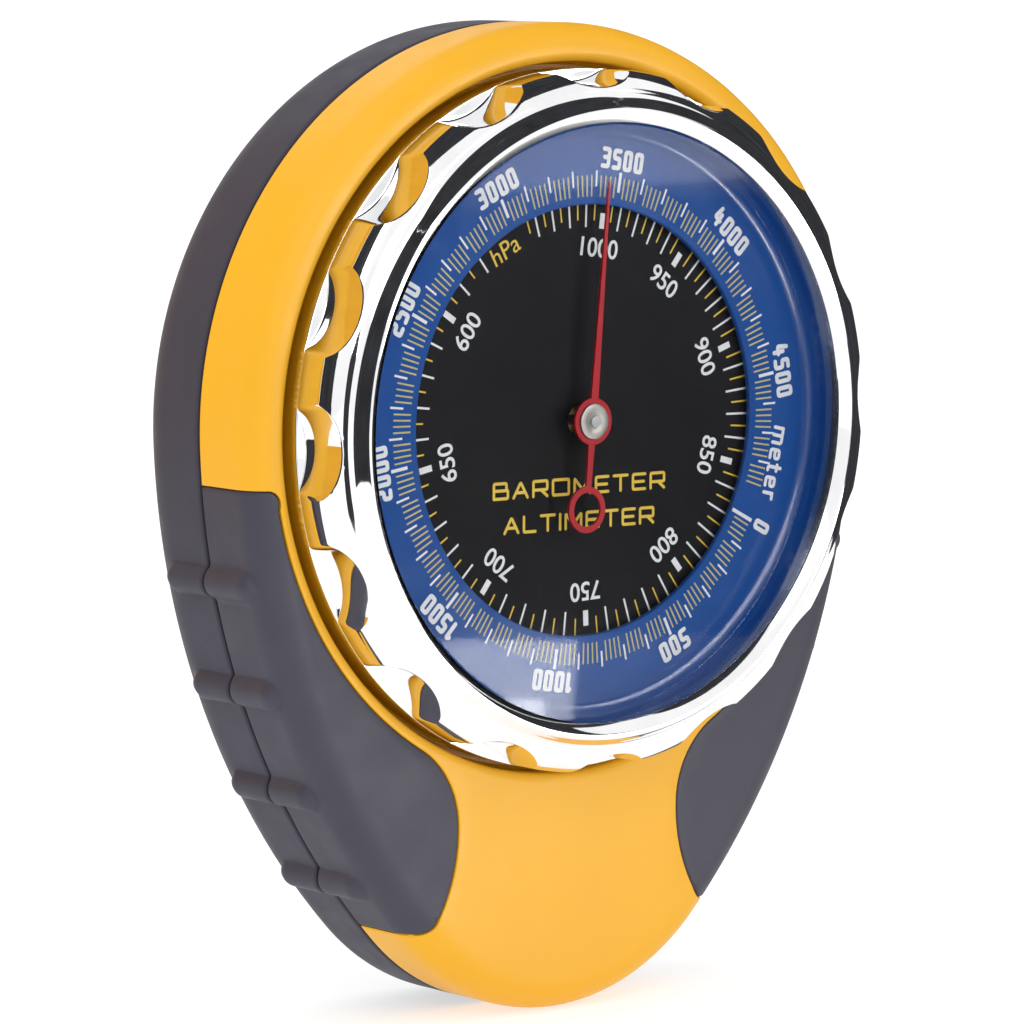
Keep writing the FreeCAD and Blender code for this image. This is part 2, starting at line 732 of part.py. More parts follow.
def make_capsule_post():
    """Stud from the front diaphragm through the leaf, with a collar under it."""
    base_at = size("capsule_at") + size("capsule_thick")
    leaf_at = size("leaf_at")
    top_at = size("post_top_at")
    radius = size("post_radius")
    collar = radius + 0.6
    return revolve("capsule_post", [(base_at, 0.0), (base_at, collar), (leaf_at, collar),
                                    (leaf_at, radius), (top_at, radius), (top_at, 0.0)])


def make_rocker_bracket():
    foot_at = size("base_at") + size("base_thick")
    body = add_body("rocker_bracket")
    foot = face_sketch(body, "foot", str(foot_at))
    add_polygon(foot, [(ROCKER_X - 1.5, -19.2), (ROCKER_X + 1.5, -19.2),
                       (ROCKER_X + 1.5, -13.1), (ROCKER_X - 1.5, -13.1)])
    pad(body, foot, "0.6")
    ears = face_sketch(body, "ears", str(foot_at + 0.6))
    for low in (-19.2, -13.7):
        add_polygon(ears, [(ROCKER_X - 1.5, low), (ROCKER_X + 1.5, low),
                           (ROCKER_X + 1.5, low + 0.6), (ROCKER_X - 1.5, low + 0.6)])
    pad(body, ears, str(ROCKER_AT + 1.2 - foot_at - 0.6))
    bore = body.newObject("Sketcher::SketchObject", "rocker_bore")
    bore.AttachmentSupport = [(plane_of(body, "XY_Plane"), "")]
    bore.MapMode = "FlatFace"
    bore.AttachmentOffset.Base = FreeCAD.Vector(0, 0, -12.0)
    add_circle(bore, 0.6 + size("bearing_gap"), ROCKER_X, -ROCKER_AT)
    before = body.Shape.Volume
    cut = body.newObject("PartDesign::Pocket", "rocker_bore_pocket")
    cut.Profile = bore
    cut.Length = 8.0
    doc.recompute()
    if not body.Shape.Volume < before - 1e-6:
        raise RuntimeError("rocker bore cut nothing")
    return body


def make_upper_plate():
    """Front plate of the movement; it carries both front bearings."""
    bearing = size("arbor_radius") + size("bearing_gap")
    body = add_body("upper_plate")
    sketch = face_sketch(body, "outline", "Sizes.plate_at")
    add_circle(sketch, "Sizes.housing_bore")
    add_circle(sketch, bearing)
    add_circle(sketch, bearing, *SECTOR_PIVOT)
    for x, y in BRIDGE_POSTS:
        add_circle(sketch, 0.5, x, y)
    pad(body, sketch, "Sizes.plate_thick")
    return body


def make_bridge():
    """Rear bridge of the gear train, a T-shaped strip with two bearings."""
    bearing = size("arbor_radius") + size("bearing_gap")
    foot_z = SECTOR_PIVOT[1] - 1.8
    body = add_body("gear_bridge")
    sketch = face_sketch(body, "outline", "Sizes.bridge_at")
    add_polygon(sketch, [(-10.5, 1.8), (10.5, 1.8), (10.5, -1.8), (1.8, -1.8), (1.8, foot_z),
                         (-1.8, foot_z), (-1.8, -1.8), (-10.5, -1.8)])
    add_circle(sketch, bearing)
    add_circle(sketch, bearing, *SECTOR_PIVOT)
    for x, y in BRIDGE_POSTS:
        add_circle(sketch, 0.5, x, y)
    pad(body, sketch, "Sizes.bridge_thick")
    return body


def make_bridge_posts():
    body = add_body("bridge_posts")
    sketch = face_sketch(body, "section", "Sizes.bridge_at + Sizes.bridge_thick")
    for x, y in BRIDGE_POSTS:
        add_circle(sketch, 1.0, x, y)
        add_circle(sketch, 0.5, x, y)
    pad(body, sketch, "Sizes.plate_at - Sizes.bridge_at - Sizes.bridge_thick")
    return body


def make_hairspring():
    """Flat spiral between the arbor's collet and a stud on the bridge."""
    thick = 0.12
    turns = 4
    start = 1.0
    pitch = 0.6
    body = add_body("hairspring")
    sketch = face_sketch(body, "spiral", "Sizes.hairspring_at")
    axis = FreeCAD.Vector(0, 0, 1)
    ends = (start, start + pitch * turns)
    for half in range(2 * turns):
        centre = pitch / 2 if half % 2 else 0.0
        base = start + pitch / 2 * half
        first = math.pi * (half % 2)
        for offset in (0.0, thick):
            circle = Part.Circle(vec(centre, 0), axis, base + offset)
            sketch.addGeometry(Part.ArcOfCircle(circle, first, first + math.pi), False)
    for end in ends:
        sketch.addGeometry(Part.LineSegment(vec(end, 0), vec(end + thick, 0)), False)
    pad(body, sketch, "Sizes.hairspring_width")
    return body


# ---------------------------------------------------------------- gear train and pointer

def gear_outline(teeth, first, count, centre, phase, thin):
    """Points of the teeth of one gear, going anticlockwise seen from the front."""
    module = size("gear_module")
    pitch = teeth * module / 2
    tip = pitch + 0.85 * module
    root = pitch - 1.2 * module
    step = 2 * math.pi / teeth
    points = []
    for number in range(first, first + count):
        middle = phase + number * step
        flanks = ((root, 0.30), (pitch, 0.235), (tip, 0.11))
        for radius, share in flanks:
            angle = middle - step * share + thin / radius
            points.append((centre[0] + radius * math.cos(angle),
                           centre[1] + radius * math.sin(angle)))
        for radius, share in flanks[::-1]:
            angle = middle + step * share - thin / radius
            points.append((centre[0] + radius * math.cos(angle),
                           centre[1] + radius * math.sin(angle)))
    return points


def make_pinion():
    body = add_body("pinion")
    teeth = int(size("pinion_teeth"))
    sketch = face_sketch(body, "teeth", "Sizes.gear_at")
    half_step = math.pi / teeth
    add_polygon(sketch, gear_outline(teeth, 0, teeth, (0.0, 0.0), -math.pi / 2 + half_step, 0.02))
    add_circle(sketch, "Sizes.arbor_radius")
    pad(body, sketch, "Sizes.pinion_thick")
    return body


def make_sector():
    """Toothed sector with a tail that the rocker pushes."""
    teeth = int(size("sector_teeth"))
    step = 2 * math.pi / teeth
    x, y = SECTOR_PIVOT
    first, last = -11, 3
    body = add_body("sector_gear")
    rim = gear_outline(teeth, first, last - first + 1, (x, y), math.pi / 2, 0.02)
    edge = 7.6

    def spoke(radius, turns):
        angle = math.pi / 2 + turns * step
        return x + radius * math.cos(angle), y + radius * math.sin(angle)

    sketch = face_sketch(body, "outline", "Sizes.gear_at + 0.25")
    hub = [(x - 1.3, y + 1.0), (x - 0.5, y - 1.2), (x - 0.5, y - 6.2), (x + 0.5, y - 6.2),
           (x + 0.5, y - 1.2), (x + 1.3, y + 1.0)]
    points = rim + [spoke(edge + 1.6, last + 0.6)] + hub + [spoke(edge + 1.6, first - 0.6)]
    add_polygon(sketch, points)
    add_circle(sketch, "Sizes.arbor_radius", x, y)
    pad(body, sketch, "Sizes.sector_thick")
    return body


def make_arbor(name, x, y, back_at, front_at):
    body = add_body(name)
    sketch = face_sketch(body, "section", back_at)
    add_circle(sketch, "Sizes.arbor_radius", x, y)
    pad(body, sketch, "%s - (%s)" % (front_at, back_at))
    return body


def make_rocker():
    """Rocking shaft: its crank lies over the leaf's end, its finger beside the sector's tail."""
    shaft = doc.addObject("Part::Cylinder", "rocker_shaft")
    shaft.Radius = 0.6
    shaft.Height = 6.9
    shaft.Placement.Base = FreeCAD.Vector(ROCKER_X, -ROCKER_AT, -19.6)
    boxes = {
        "rocker_arm": ((ROCKER_X - 0.4, -13.8, -17.0), (0.8, 4.9, 2.8)),
        "rocker_crank": ((ROCKER_X - 3.4, -11.7, -15.0), (3.4, 0.6, 2.6)),
        "rocker_finger": ((ROCKER_X, -13.8, -17.0), (2.2, 0.8, 1.0)),
    }
    pieces = [shaft]
    for name, (corner, extent) in boxes.items():
        box = doc.addObject("Part::Box", name)
        box.Placement.Base = FreeCAD.Vector(*corner)
        box.Length, box.Width, box.Height = extent
        pieces.append(box)
    doc.recompute()
    return combine("Part::MultiFuse", "rocker", pieces)


def make_pointer():
    """Tapered blade, hub and ring-shaped counterweight, turned to its reading."""
    lean = math.radians(size("pointer_angle"))
    length = size("pointer_length")
    tail = size("pointer_tail")
    hub = size("pointer_hub")
    ring = 1.83
    ring_hole = 1.33

    def along(distance, offset):
        return (distance * math.sin(lean) + offset * math.cos(lean),
                distance * math.cos(lean) - offset * math.sin(lean))

    body = add_body("pointer")
    disc_sketch = face_sketch(body, "hub", "Sizes.pointer_at")
    add_circle(disc_sketch, "Sizes.pointer_hub")
    add_circle(disc_sketch, "Sizes.arbor_radius")
    pad(body, disc_sketch, "Sizes.pointer_thick")
    blade = face_sketch(body, "blade", "Sizes.pointer_at")
    add_polygon(blade, [along(hub - 0.3, -0.42), along(length - 1.2, -0.16), along(length, 0.0),
                        along(length - 1.2, 0.16), along(hub - 0.3, 0.42)])
    pad(body, blade, "Sizes.pointer_thick")
    rod = face_sketch(body, "tail", "Sizes.pointer_at")
    near = -hub + 0.3
    far = -tail + ring_hole + 0.15
    add_polygon(rod, [along(near, -0.38), along(far, -0.3), along(far, 0.3), along(near, 0.38)])
    pad(body, rod, "Sizes.pointer_thick")
    loop = face_sketch(body, "loop", "Sizes.pointer_at")
    add_circle(loop, ring, *along(-tail, 0.0))
    add_circle(loop, ring_hole, *along(-tail, 0.0))
    pad(body, loop, "Sizes.pointer_thick")
    return body


def make_pointer_cap():
    base_at = size("pointer_at") + size("pointer_thick")
    top_at = size("cap_top_at")
    radius = size("cap_radius")
    arbor = size("arbor_radius")
    return revolve("pointer_cap", [(base_at, arbor), (base_at, radius), (top_at - 0.05, radius),
                                   (top_at, radius - 0.1), (top_at, arbor)])


# ---------------------------------------------------------------- build every sub-part

grips = [make_grip("grip_left", -1), make_grip("grip_right", 1)]
parts = list(grips)
parts.append(make_front_shell(grips))
parts.append(make_back_shell())
parts.append(make_seam_gasket())
parts.append(make_screws("case_screws", CASE_SCREWS, "0.4", "12.0"))
parts.append(disc("breather", "0.5", "1.0", "Sizes.vent_radius", x=VENT[0], y=VENT[1]))
parts.append(make_bezel())
parts.append(make_crystal())
parts.append(make_crystal_gasket())
parts.append(make_altitude_ring())
parts.append(make_snap_wire())
parts.append(disc("dial_plate", "Sizes.dial_back_at", "Sizes.dial_at - Sizes.dial_back_at",
                  "Sizes.dial_radius", [(0.0, 0.0)], "Sizes.dial_hole"))
parts.append(make_housing())
parts.append(make_screws("housing_screws", HOUSING_SCREWS, "Sizes.flange_at - Sizes.head_depth",
                         "12.4", "0.7", "1.3"))
parts.append(make_base_plate())
parts.append(make_pillars())
parts.append(make_screws("base_screws", PILLARS, "Sizes.base_at - Sizes.head_depth",
                         "Sizes.flange_at + 0.8", "0.6", "1.2"))
parts.append(make_diaphragm("capsule_rear", -1))
parts.append(make_diaphragm("capsule_front", 1))
parts.append(make_trimmer())
parts.append(make_capsule_stud())
parts.append(make_mainspring())
parts.append(make_capsule_post())
parts.append(make_rocker_bracket())
parts.append(make_upper_plate())
parts.append(make_bridge())
parts.append(make_bridge_posts())
parts.append(make_hairspring())
parts.append(make_rocker())
parts.append(make_sector())
parts.append(make_arbor("sector_arbor", SECTOR_PIVOT[0], SECTOR_PIVOT[1], "Sizes.bridge_at - 0.2",
                        "Sizes.plate_at + Sizes.plate_thick"))
parts.append(make_pinion())
parts.append(make_arbor("pointer_arbor", 0.0, 0.0, "Sizes.bridge_at - 0.2", "Sizes.cap_top_at + 0.15"))
parts.append(make_pointer())
parts.append(make_pointer_cap())

# ---------------------------------------------------------------- check and write

doc.recompute()
for thing in doc.Objects:
    faults = [word for word in thing.State if word in ("Invalid", "Error")]
    if faults:
        raise RuntimeError("%s is %s" % (thing.Name, faults))
for part in parts:
    if part.Shape.isNull() or not part.Shape.isValid():
        raise RuntimeError(part.Label + " has no valid shape")

os.makedirs("parts", exist_ok=True)
for part in parts:
    part.Shape.exportStep("parts/%s.step" % part.Label)
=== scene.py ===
import math

import bmesh
import bpy
from mathutils import Matrix, Vector
from mathutils.geometry import delaunay_2d_cdt


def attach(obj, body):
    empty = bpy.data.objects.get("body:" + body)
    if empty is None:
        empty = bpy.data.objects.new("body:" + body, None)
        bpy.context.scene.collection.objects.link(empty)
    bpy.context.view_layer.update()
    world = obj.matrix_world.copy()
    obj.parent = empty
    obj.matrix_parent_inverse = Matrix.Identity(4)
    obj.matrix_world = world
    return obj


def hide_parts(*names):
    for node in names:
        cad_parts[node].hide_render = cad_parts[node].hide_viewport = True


# Handheld aneroid barometer-altimeter. All sizes are millimetres until a mesh is made.
# F is a distance in front of the flat back face, so a point is (x, -F, z).

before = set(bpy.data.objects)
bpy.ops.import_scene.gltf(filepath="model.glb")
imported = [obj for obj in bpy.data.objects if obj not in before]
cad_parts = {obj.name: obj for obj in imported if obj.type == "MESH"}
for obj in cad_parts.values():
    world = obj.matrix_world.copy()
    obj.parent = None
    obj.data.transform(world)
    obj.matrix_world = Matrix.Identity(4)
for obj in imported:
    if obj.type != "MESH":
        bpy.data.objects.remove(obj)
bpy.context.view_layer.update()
MM = 0.001

# casing outline: a top arc about the dial's axis, two flank arcs and a foot arc
TOP_RADIUS = 30.9
FLANK_RADIUS = 61.5
FOOT_RADIUS = 19.5
FOOT_BOTTOM = -46.9
SEAM_BACK = 8.55
SEAM_FRONT = 8.85
FACE = 15.9
FACE_ROUND = 2.6
BACK_ROUND = 4.2
FRONT_WALL = 2.6
BACK_WALL = 1.9
BACK_FLOOR = 1.6
CAVITY = 11.0
RECESS_RADIUS = 27.9
RECESS_FLOOR = 12.7
RECESS_ROUND = 0.7
COLLAR_OUTER = 24.25
COLLAR_INNER = 22.2
COLLAR_TOP = 16.2

# soft grips
GRIP_TOP = -4.1
GRIP_FOOT = -39.5
GRIP_DEPTH = 1.1
GRIP_RIM = 28.9
GRIP_GAP = 0.03
BED_ROUND = 0.15
GRIP_ROUND = 0.3
SEAM_ROUND = 0.22
RIB_HEIGHTS = (-11.5, -20.0, -28.1, -35.6)
RIB_RADIUS = 1.32
RIB_SINK = 0.42
RIB_FRONTS = (13.0, 12.8, 12.5, 12.3)
RIB_BACK = 4.6

# openings of the back
CASE_SCREWS = ((19.0, 19.0), (-19.0, 19.0), (9.0, -37.0), (-9.0, -37.0))
SCREW_BORE = 1.85
SCREW_SEAT = 1.4
VENT = (0.0, -36.0)
VENT_BORE = 1.6
TRIMMER = (0.0, 14.0)
TRIMMER_BORE = 1.8

# bezel
BEZEL_RADIUS = 27.4
BEZEL_BORE = 24.6
BEZEL_FOOT = 13.1
BEZEL_WINDOW = 23.3
BEZEL_LIP = 20.9
FLUTES = 16
FLUTE_PHASE = 2.1
FLUTE_RADIUS = 6.4
FLUTE_CENTRE = 32.8
FLUTE_FLOOR = 16.45
FLUTE_DRAFT = 5.5
WIRE_AT = 14.7

# crystal, altitude ring and dial
CRYSTAL_RADIUS = 24.1
CRYSTAL_BACK = 19.4
CRYSTAL_DOME = 0.6
RING_INNER = 16.85
RING_BACK = 17.2
RING_FACE = 17.65
RING_OUTER = 24.45
RING_COVE = 1.3
DIAL_RADIUS = 21.8
DIAL_BACK = 16.2
DIAL_FACE = 16.8
DIAL_HOLE = 1.2

# pointer
POINTER_BACK = 18.0
POINTER_THICK = 0.4
POINTER_LENGTH = 18.9
POINTER_TAIL = 6.9
POINTER_HUB = 1.84
POINTER_ANGLE = 4.5
ARBOR_RADIUS = 0.45
CAP_RADIUS = 1.42
CAP_TOP = 18.6

# the unit in which the printed scales and the camera's place are given
SCALE_UNIT = 15.6

# camera: degrees from the dial's axis, then distance and shifts in scale units, and the focal
# length in picture widths
CAMERA_AZIMUTH = 38.89
CAMERA_ELEVATION = 5.90
CAMERA_ROLL = 0.43
CAMERA_DISTANCE = 27.509
CAMERA_SIDE_SHIFT = 0.34276
CAMERA_UP_SHIFT = 0.45972
CAMERA_FOCAL = 5.37109375
SENSOR_WIDTH = 36.0

# steps round a rounded edge of the casing, and a distance too far from an edge to matter
ROUND_STEPS = 18
FAR = 9.0


# ---------------------------------------------------------------- small geometry helpers

def polar(radius, degrees):
    angle = math.radians(degrees)
    return radius * math.cos(angle), radius * math.sin(angle)


def clock(radius, degrees):
    """A point at an angle measured clockwise from the top of the dial."""
    return polar(radius, 90.0 - degrees)


def edge_drop(distance, radius):
    """How far a rounded edge lies below its face, at a distance from the edge."""
    if distance >= radius:
        return 0.0
    inside = radius - max(distance, 0.0)
    return radius - math.sqrt(radius * radius - inside * inside)


def near_edge(radius, count=5):
    """Distances from an edge that sample its rounding at even angles."""
    return [radius * (1 - math.sin(math.radians(90.0 * k / count))) for k in range(count, -1, -1)]


def spread(start, end, spacing):
    count = max(1, int(math.ceil(abs(end - start) / spacing)))
    return [start + (end - start) * k / count for k in range(count + 1)]


def arc_through(start, middle, end, count):
    """Points on the circle through three points, from start to end."""
    ax, ay = start
    bx, by = middle
    cx, cy = end
    scale = 2 * (ax * (by - cy) + bx * (cy - ay) + cx * (ay - by))
    a2, b2, c2 = ax * ax + ay * ay, bx * bx + by * by, cx * cx + cy * cy
    ux = (a2 * (by - cy) + b2 * (cy - ay) + c2 * (ay - by)) / scale
    uy = (a2 * (cx - bx) + b2 * (ax - cx) + c2 * (bx - ax)) / scale
    radius = math.hypot(ax - ux, ay - uy)
    first = math.atan2(ay - uy, ax - ux)
    half = math.atan2(by - uy, bx - ux)
    last = math.atan2(cy - uy, cx - ux)
    turn = 1.0 if (bx - ax) * (cy - by) - (by - ay) * (cx - bx) > 0 else -1.0
    while (half - first) * turn < 0:
        half += turn * 2 * math.pi
    while (last - half) * turn < 0:
        last += turn * 2 * math.pi
    angles = [first + (last - first) * k / count for k in range(count + 1)]
    return [(ux + radius * math.cos(a), uy + radius * math.sin(a)) for a in angles]


def segment_distance(point, start, end):
    dx, dz = end[0] - start[0], end[1] - start[1]
    along = ((point[0] - start[0]) * dx + (point[1] - start[1]) * dz) / (dx * dx + dz * dz)
    along = min(1.0, max(0.0, along))
    return math.hypot(point[0] - start[0] - along * dx, point[1] - start[1] - along * dz)


def line_distance(point, line):
    return min(segment_distance(point, a, b) for a, b in zip(line, line[1:]))


def inside_polygon(point, polygon):
    x, z = point
    inside = False
    for (ax, az), (bx, bz) in zip(polygon, polygon[1:] + polygon[:1]):
        if (az > z) != (bz > z) and x < (bx - ax) * (z - az) / (bz - az) + ax:
            inside = not inside
    return inside


def round_corners(points, radius, closed, count=6):
    """The same line with each corner replaced by a small curve."""
    result = []
    last = len(points)
    for k, corner in enumerate(points):
        if not closed and k in (0, last - 1):
            result.append(corner)
            continue
        before, after = points[k - 1], points[(k + 1) % last]
        corner = Vector(corner)
        back = Vector(before) - corner
        ahead = Vector(after) - corner
        reach = min(radius, back.length * 0.5, ahead.length * 0.5)
        start = corner + back.normalized() * reach
        end = corner + ahead.normalized() * reach
        for step in range(count + 1):
            t = step / count
            point = start * (1 - t) ** 2 + corner * 2 * t * (1 - t) + end * t * t
            result.append(tuple(point))
    return result


# ---------------------------------------------------------------- making objects

def set_material(obj, material):
    obj.data.materials.clear()
    obj.data.materials.append(material)


def add_object(name, data):
    obj = bpy.data.objects.new(name, data)
    bpy.context.scene.collection.objects.link(obj)
    return obj


def make_piece(name, verts, faces, body, material, replaces=(), sharp=32.0, weld=2e-6):
    """A mesh from points in millimetres, (x, F, z), welded, turned outwards and shaded smooth."""
    mesh = bpy.data.meshes.new(name)
    mesh.from_pydata([(x * MM, -f * MM, z * MM) for x, f, z in verts], [], faces)
    bm = bmesh.new()
    bm.from_mesh(mesh)
    bmesh.ops.remove_doubles(bm, verts=bm.verts, dist=weld)
    flat = [face for face in bm.faces if face.calc_area() < 1e-14]
    bmesh.ops.delete(bm, geom=flat, context="FACES_ONLY")
    bmesh.ops.recalc_face_normals(bm, faces=bm.faces)
    bm.to_mesh(mesh)
    bm.free()
    mesh.shade_smooth()
    mesh.set_sharp_from_angle(angle=math.radians(sharp))
    obj = add_object(name, mesh)
    set_material(obj, material)
    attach(obj, body)
    if replaces:
        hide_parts(*replaces)
    return obj


class Shape:
    """Points and faces of one piece while it is put together."""

    def __init__(self):
        self.verts = []
        self.faces = []

    def add(self, x, f, z):
        self.verts.append((x, f, z))
        return len(self.verts) - 1

    def grid(self, rows, wrap=False):
        """Quads between rows of point numbers; wrap joins each row's end to its start."""
        for low, high in zip(rows, rows[1:]):
            count = len(low)
            for k in range(count if wrap else count - 1):
                after = (k + 1) % count
                self.faces.append((low[k], low[after], high[after], high[k]))

    def rings(self, profile, samples, x=0.0, z=0.0, closed=False):
        """A turned surface through (radius, F) points about an axis through (x, z)."""
        rows = []
        for radius, f in profile:
            if radius < 1e-9:
                rows.append([self.add(x, f, z)] * samples)
                continue
            row = []
            for k in range(samples):
                dx, dz = polar(radius, 360.0 * k / samples)
                row.append(self.add(x + dx, f, z + dz))
            rows.append(row)
        if closed:
            rows.append(rows[0])
        for low, high in zip(rows, rows[1:]):
            for k in range(samples):
                after = (k + 1) % samples
                corners = [low[k], low[after], high[after], high[k]]
                self.faces.append(tuple(dict.fromkeys(corners)))

    def plate(self, triangles, points, place):
        """Triangles of a flat plan, each point put in space by place(x, z)."""
        numbers = {}
        for triangle in triangles:
            for k in triangle:
                if k not in numbers:
                    numbers[k] = self.add(*place(*points[k]))
            self.faces.append(tuple(numbers[k] for k in triangle))
        return numbers


def triangulate(loops, lines=(), points=()):
    """Constrained triangles over everything, with the loops and lines as edges."""
    verts, edges = [], []
    for chain, closed in [(loop, True) for loop in loops] + [(line, False) for line in lines]:
        first = len(verts)
        verts += [Vector(p) for p in chain]
        count = len(chain)
        edges += [(first + k, first + k + 1) for k in range(count - 1)]
        if closed:
            edges.append((first + count - 1, first))
    verts += [Vector(p) for p in points]
    out, _, faces, _, _, _ = delaunay_2d_cdt(verts, edges, [], 0, 1e-5)
    return [tuple(v) for v in out], [tuple(face) for face in faces]


def centre_of(triangle, points):
    return (sum(points[k][0] for k in triangle) / 3, sum(points[k][1] for k in triangle) / 3)


def circle_loop(radius, samples, x=0.0, z=0.0):
    return [(x + radius * math.cos(2 * math.pi * k / samples),
             z + radius * math.sin(2 * math.pi * k / samples)) for k in range(samples)]


# ---------------------------------------------------------------- casing outline

class Outline:
    """The drop outline as four tangent arcs, anticlockwise seen from the front."""

    def __init__(self):
        foot_z = FOOT_RADIUS + FOOT_BOTTOM
        near = FLANK_RADIUS - TOP_RADIUS
        far = FLANK_RADIUS - FOOT_RADIUS
        drop = (near ** 2 - far ** 2 + foot_z ** 2) / (2 * foot_z)
        flank_x = -math.sqrt(near ** 2 - drop ** 2)
        upper = math.atan2(-drop, -flank_x)
        lower = math.atan2(foot_z - drop, -flank_x)
        self.flank = (flank_x, drop)
        self.arcs = (
            (0.0, 0.0, TOP_RADIUS, upper, math.pi - upper),
            (-flank_x, drop, FLANK_RADIUS, math.pi - upper, math.pi - lower),
            (0.0, foot_z, FOOT_RADIUS, math.pi - lower, 2 * math.pi + lower),
            (flank_x, drop, FLANK_RADIUS, 2 * math.pi + lower, 2 * math.pi + upper),
        )

    def flank_angle(self, z):
        return math.asin((z - self.flank[1]) / FLANK_RADIUS)

    def flank_x(self, z, inset=0.0):
        """x of the right flank at a height, for the outline moved inwards."""
        reach = FLANK_RADIUS - inset
        return self.flank[0] + math.sqrt(reach ** 2 - (z - self.flank[1]) ** 2)

    def samples(self, spacing, flank_spacing, heights=()):
        """(arc, angle) places round the outline; heights on the flanks are hit exactly."""
        places = []
        for number, (_, _, radius, start, end) in enumerate(self.arcs):
            on_flank = number % 2 == 1
            step = flank_spacing if on_flank else spacing
            angles = spread(start, end, step / radius)[:-1]
            if on_flank:
                for height in heights:
                    angle = self.flank_angle(height)
                    angle = math.pi - angle if number == 1 else 2 * math.pi + angle
                    angles = [a for a in angles if a == start or abs(a - angle) * radius > 0.02]
                    angles.append(angle)
            places += [(number, angle) for angle in sorted(angles)]
        return places

    def point(self, place, inset=0.0):
        number, angle = place
        x, z, radius, _, _ = self.arcs[number]
        return (x + (radius - inset) * math.cos(angle), z + (radius - inset) * math.sin(angle))

    def normal(self, place):
        return math.cos(place[1]), math.sin(place[1])

    def inset_of(self, x, z):
        """Distance inside the outline, and the outward direction there."""
        best = None
        for cx, cz, radius, start, end in self.arcs:
            angle = math.atan2(z - cz, x - cx)
            while angle < start - 1e-9:
                angle += 2 * math.pi
            if angle <= end + 1e-9:
                inset = radius - math.hypot(x - cx, z - cz)
                if best is None or inset < best[0]:
                    best = (inset, math.cos(angle), math.sin(angle))
        return best


outline = Outline()


def grip_line(outwards=0.0, count=14):
    """Inner border of the right-hand grip, from its top to its foot, moved towards the shell."""
    rim_start = polar(GRIP_RIM, -11.0)
    rim_end = polar(GRIP_RIM, -59.5)
    corner = (math.sqrt(GRIP_RIM ** 2 - GRIP_TOP ** 2) + 0.9, GRIP_TOP)
    waist = (11.1, -30.6)
    hip = (12.9, -38.2)
    heel = (15.1, GRIP_FOOT)
    line = arc_through(corner, (corner[0] - 1.0, GRIP_TOP - 0.42), rim_start, 10)
    line += arc_through(rim_start, polar(GRIP_RIM, -35.0), rim_end, 3 * count)[1:]
    line += arc_through(rim_end, (12.1, -27.5), waist, count)[1:]
    line += arc_through(waist, (11.4, -34.4), hip, count)[1:]
    line += arc_through(hip, (13.7, -39.2), heel, 10)[1:]
    if not outwards:
        return line
    moved = []
    for k, (x, z) in enumerate(line):
        before, after = line[max(k - 1, 0)], line[min(k + 1, len(line) - 1)]
        along = (Vector(after) - Vector(before)).normalized()
        side = Vector((along.y, -along.x))
        if k == 0:
            side = Vector((0.0, 1.0))
        if k == len(line) - 1:
            side = Vector((0.0, -1.0))
        if side.x > 0:
            side = -side
        moved.append((x + side.x * outwards, z + side.y * outwards))
    return moved


def face_place(x, z, sunk=0.0):
    """A point of the front half's outer form over (x, z), moved inwards by sunk."""
    inset, nx, nz = outline.inset_of(x, z)
    if inset >= FACE_ROUND:
        return x, FACE - sunk, z
    angle = math.acos(min(1.0, 1.0 - max(inset, 0.0) / FACE_ROUND))
    f = FACE - FACE_ROUND + (FACE_ROUND - sunk) * math.sin(angle)
    return x - nx * sunk * math.cos(angle), f, z - nz * sunk * math.cos(angle)


# ---------------------------------------------------------------- materials

def new_material(name, colour, roughness, metallic=0.0):
    material = bpy.data.materials.new(name)
    material.use_nodes = True
    shader = material.node_tree.nodes["Principled BSDF"]
    shader.inputs["Base Color"].default_value = (*colour, 1.0)
    shader.inputs["Roughness"].default_value = roughness
    shader.inputs["Metallic"].default_value = metallic
    return material, material.node_tree, shader


def object_noise(tree, scale, detail=3.0, stretch=(1.0, 1.0, 1.0)):
    """A noise in the piece's own space; scale is in cycles per metre."""
    where = tree.nodes.new("ShaderNodeTexCoord")
    mapping = tree.nodes.new("ShaderNodeMapping")
    mapping.inputs["Scale"].default_value = stretch
    noise = tree.nodes.new("ShaderNodeTexNoise")
    noise.inputs["Scale"].default_value = scale
    noise.inputs["Detail"].default_value = detail
    tree.links.new(where.outputs["Object"], mapping.inputs["Vector"])
    tree.links.new(mapping.outputs["Vector"], noise.inputs["Vector"])
    return noise.outputs["Fac"]


def ramp(tree, value, stops):
    node = tree.nodes.new("ShaderNodeValToRGB")
    elements = node.color_ramp.elements
    while len(elements) < len(stops):
        elements.new(0.5)
    for element, (place, colour) in zip(elements, stops):
        element.position = place
        element.color = (*colour, 1.0)
    tree.links.new(value, node.inputs["Fac"])
    return node.outputs["Color"]


def shade_of(colour, factor):
    return tuple(min(1.0, channel * factor) for channel in colour)


def vary_colour(tree, shader, colour, scale, amount, detail=3.0, stretch=(1.0, 1.0, 1.0)):
    value = object_noise(tree, scale, detail, stretch)
    stops = [(0.3, shade_of(colour, 1 - amount)), (0.7, shade_of(colour, 1 + amount))]
    tree.links.new(ramp(tree, value, stops), shader.inputs["Base Color"])


def vary_roughness(tree, shader, low, high, scale, stretch=(1.0, 1.0, 1.0)):
    value = object_noise(tree, scale, 4.0, stretch)
    node = tree.nodes.new("ShaderNodeMapRange")
    node.inputs["From Min"].default_value = 0.3
    node.inputs["From Max"].default_value = 0.7
    node.inputs["To Min"].default_value = low
    node.inputs["To Max"].default_value = high
    tree.links.new(value, node.inputs["Value"])
    tree.links.new(node.outputs["Result"], shader.inputs["Roughness"])


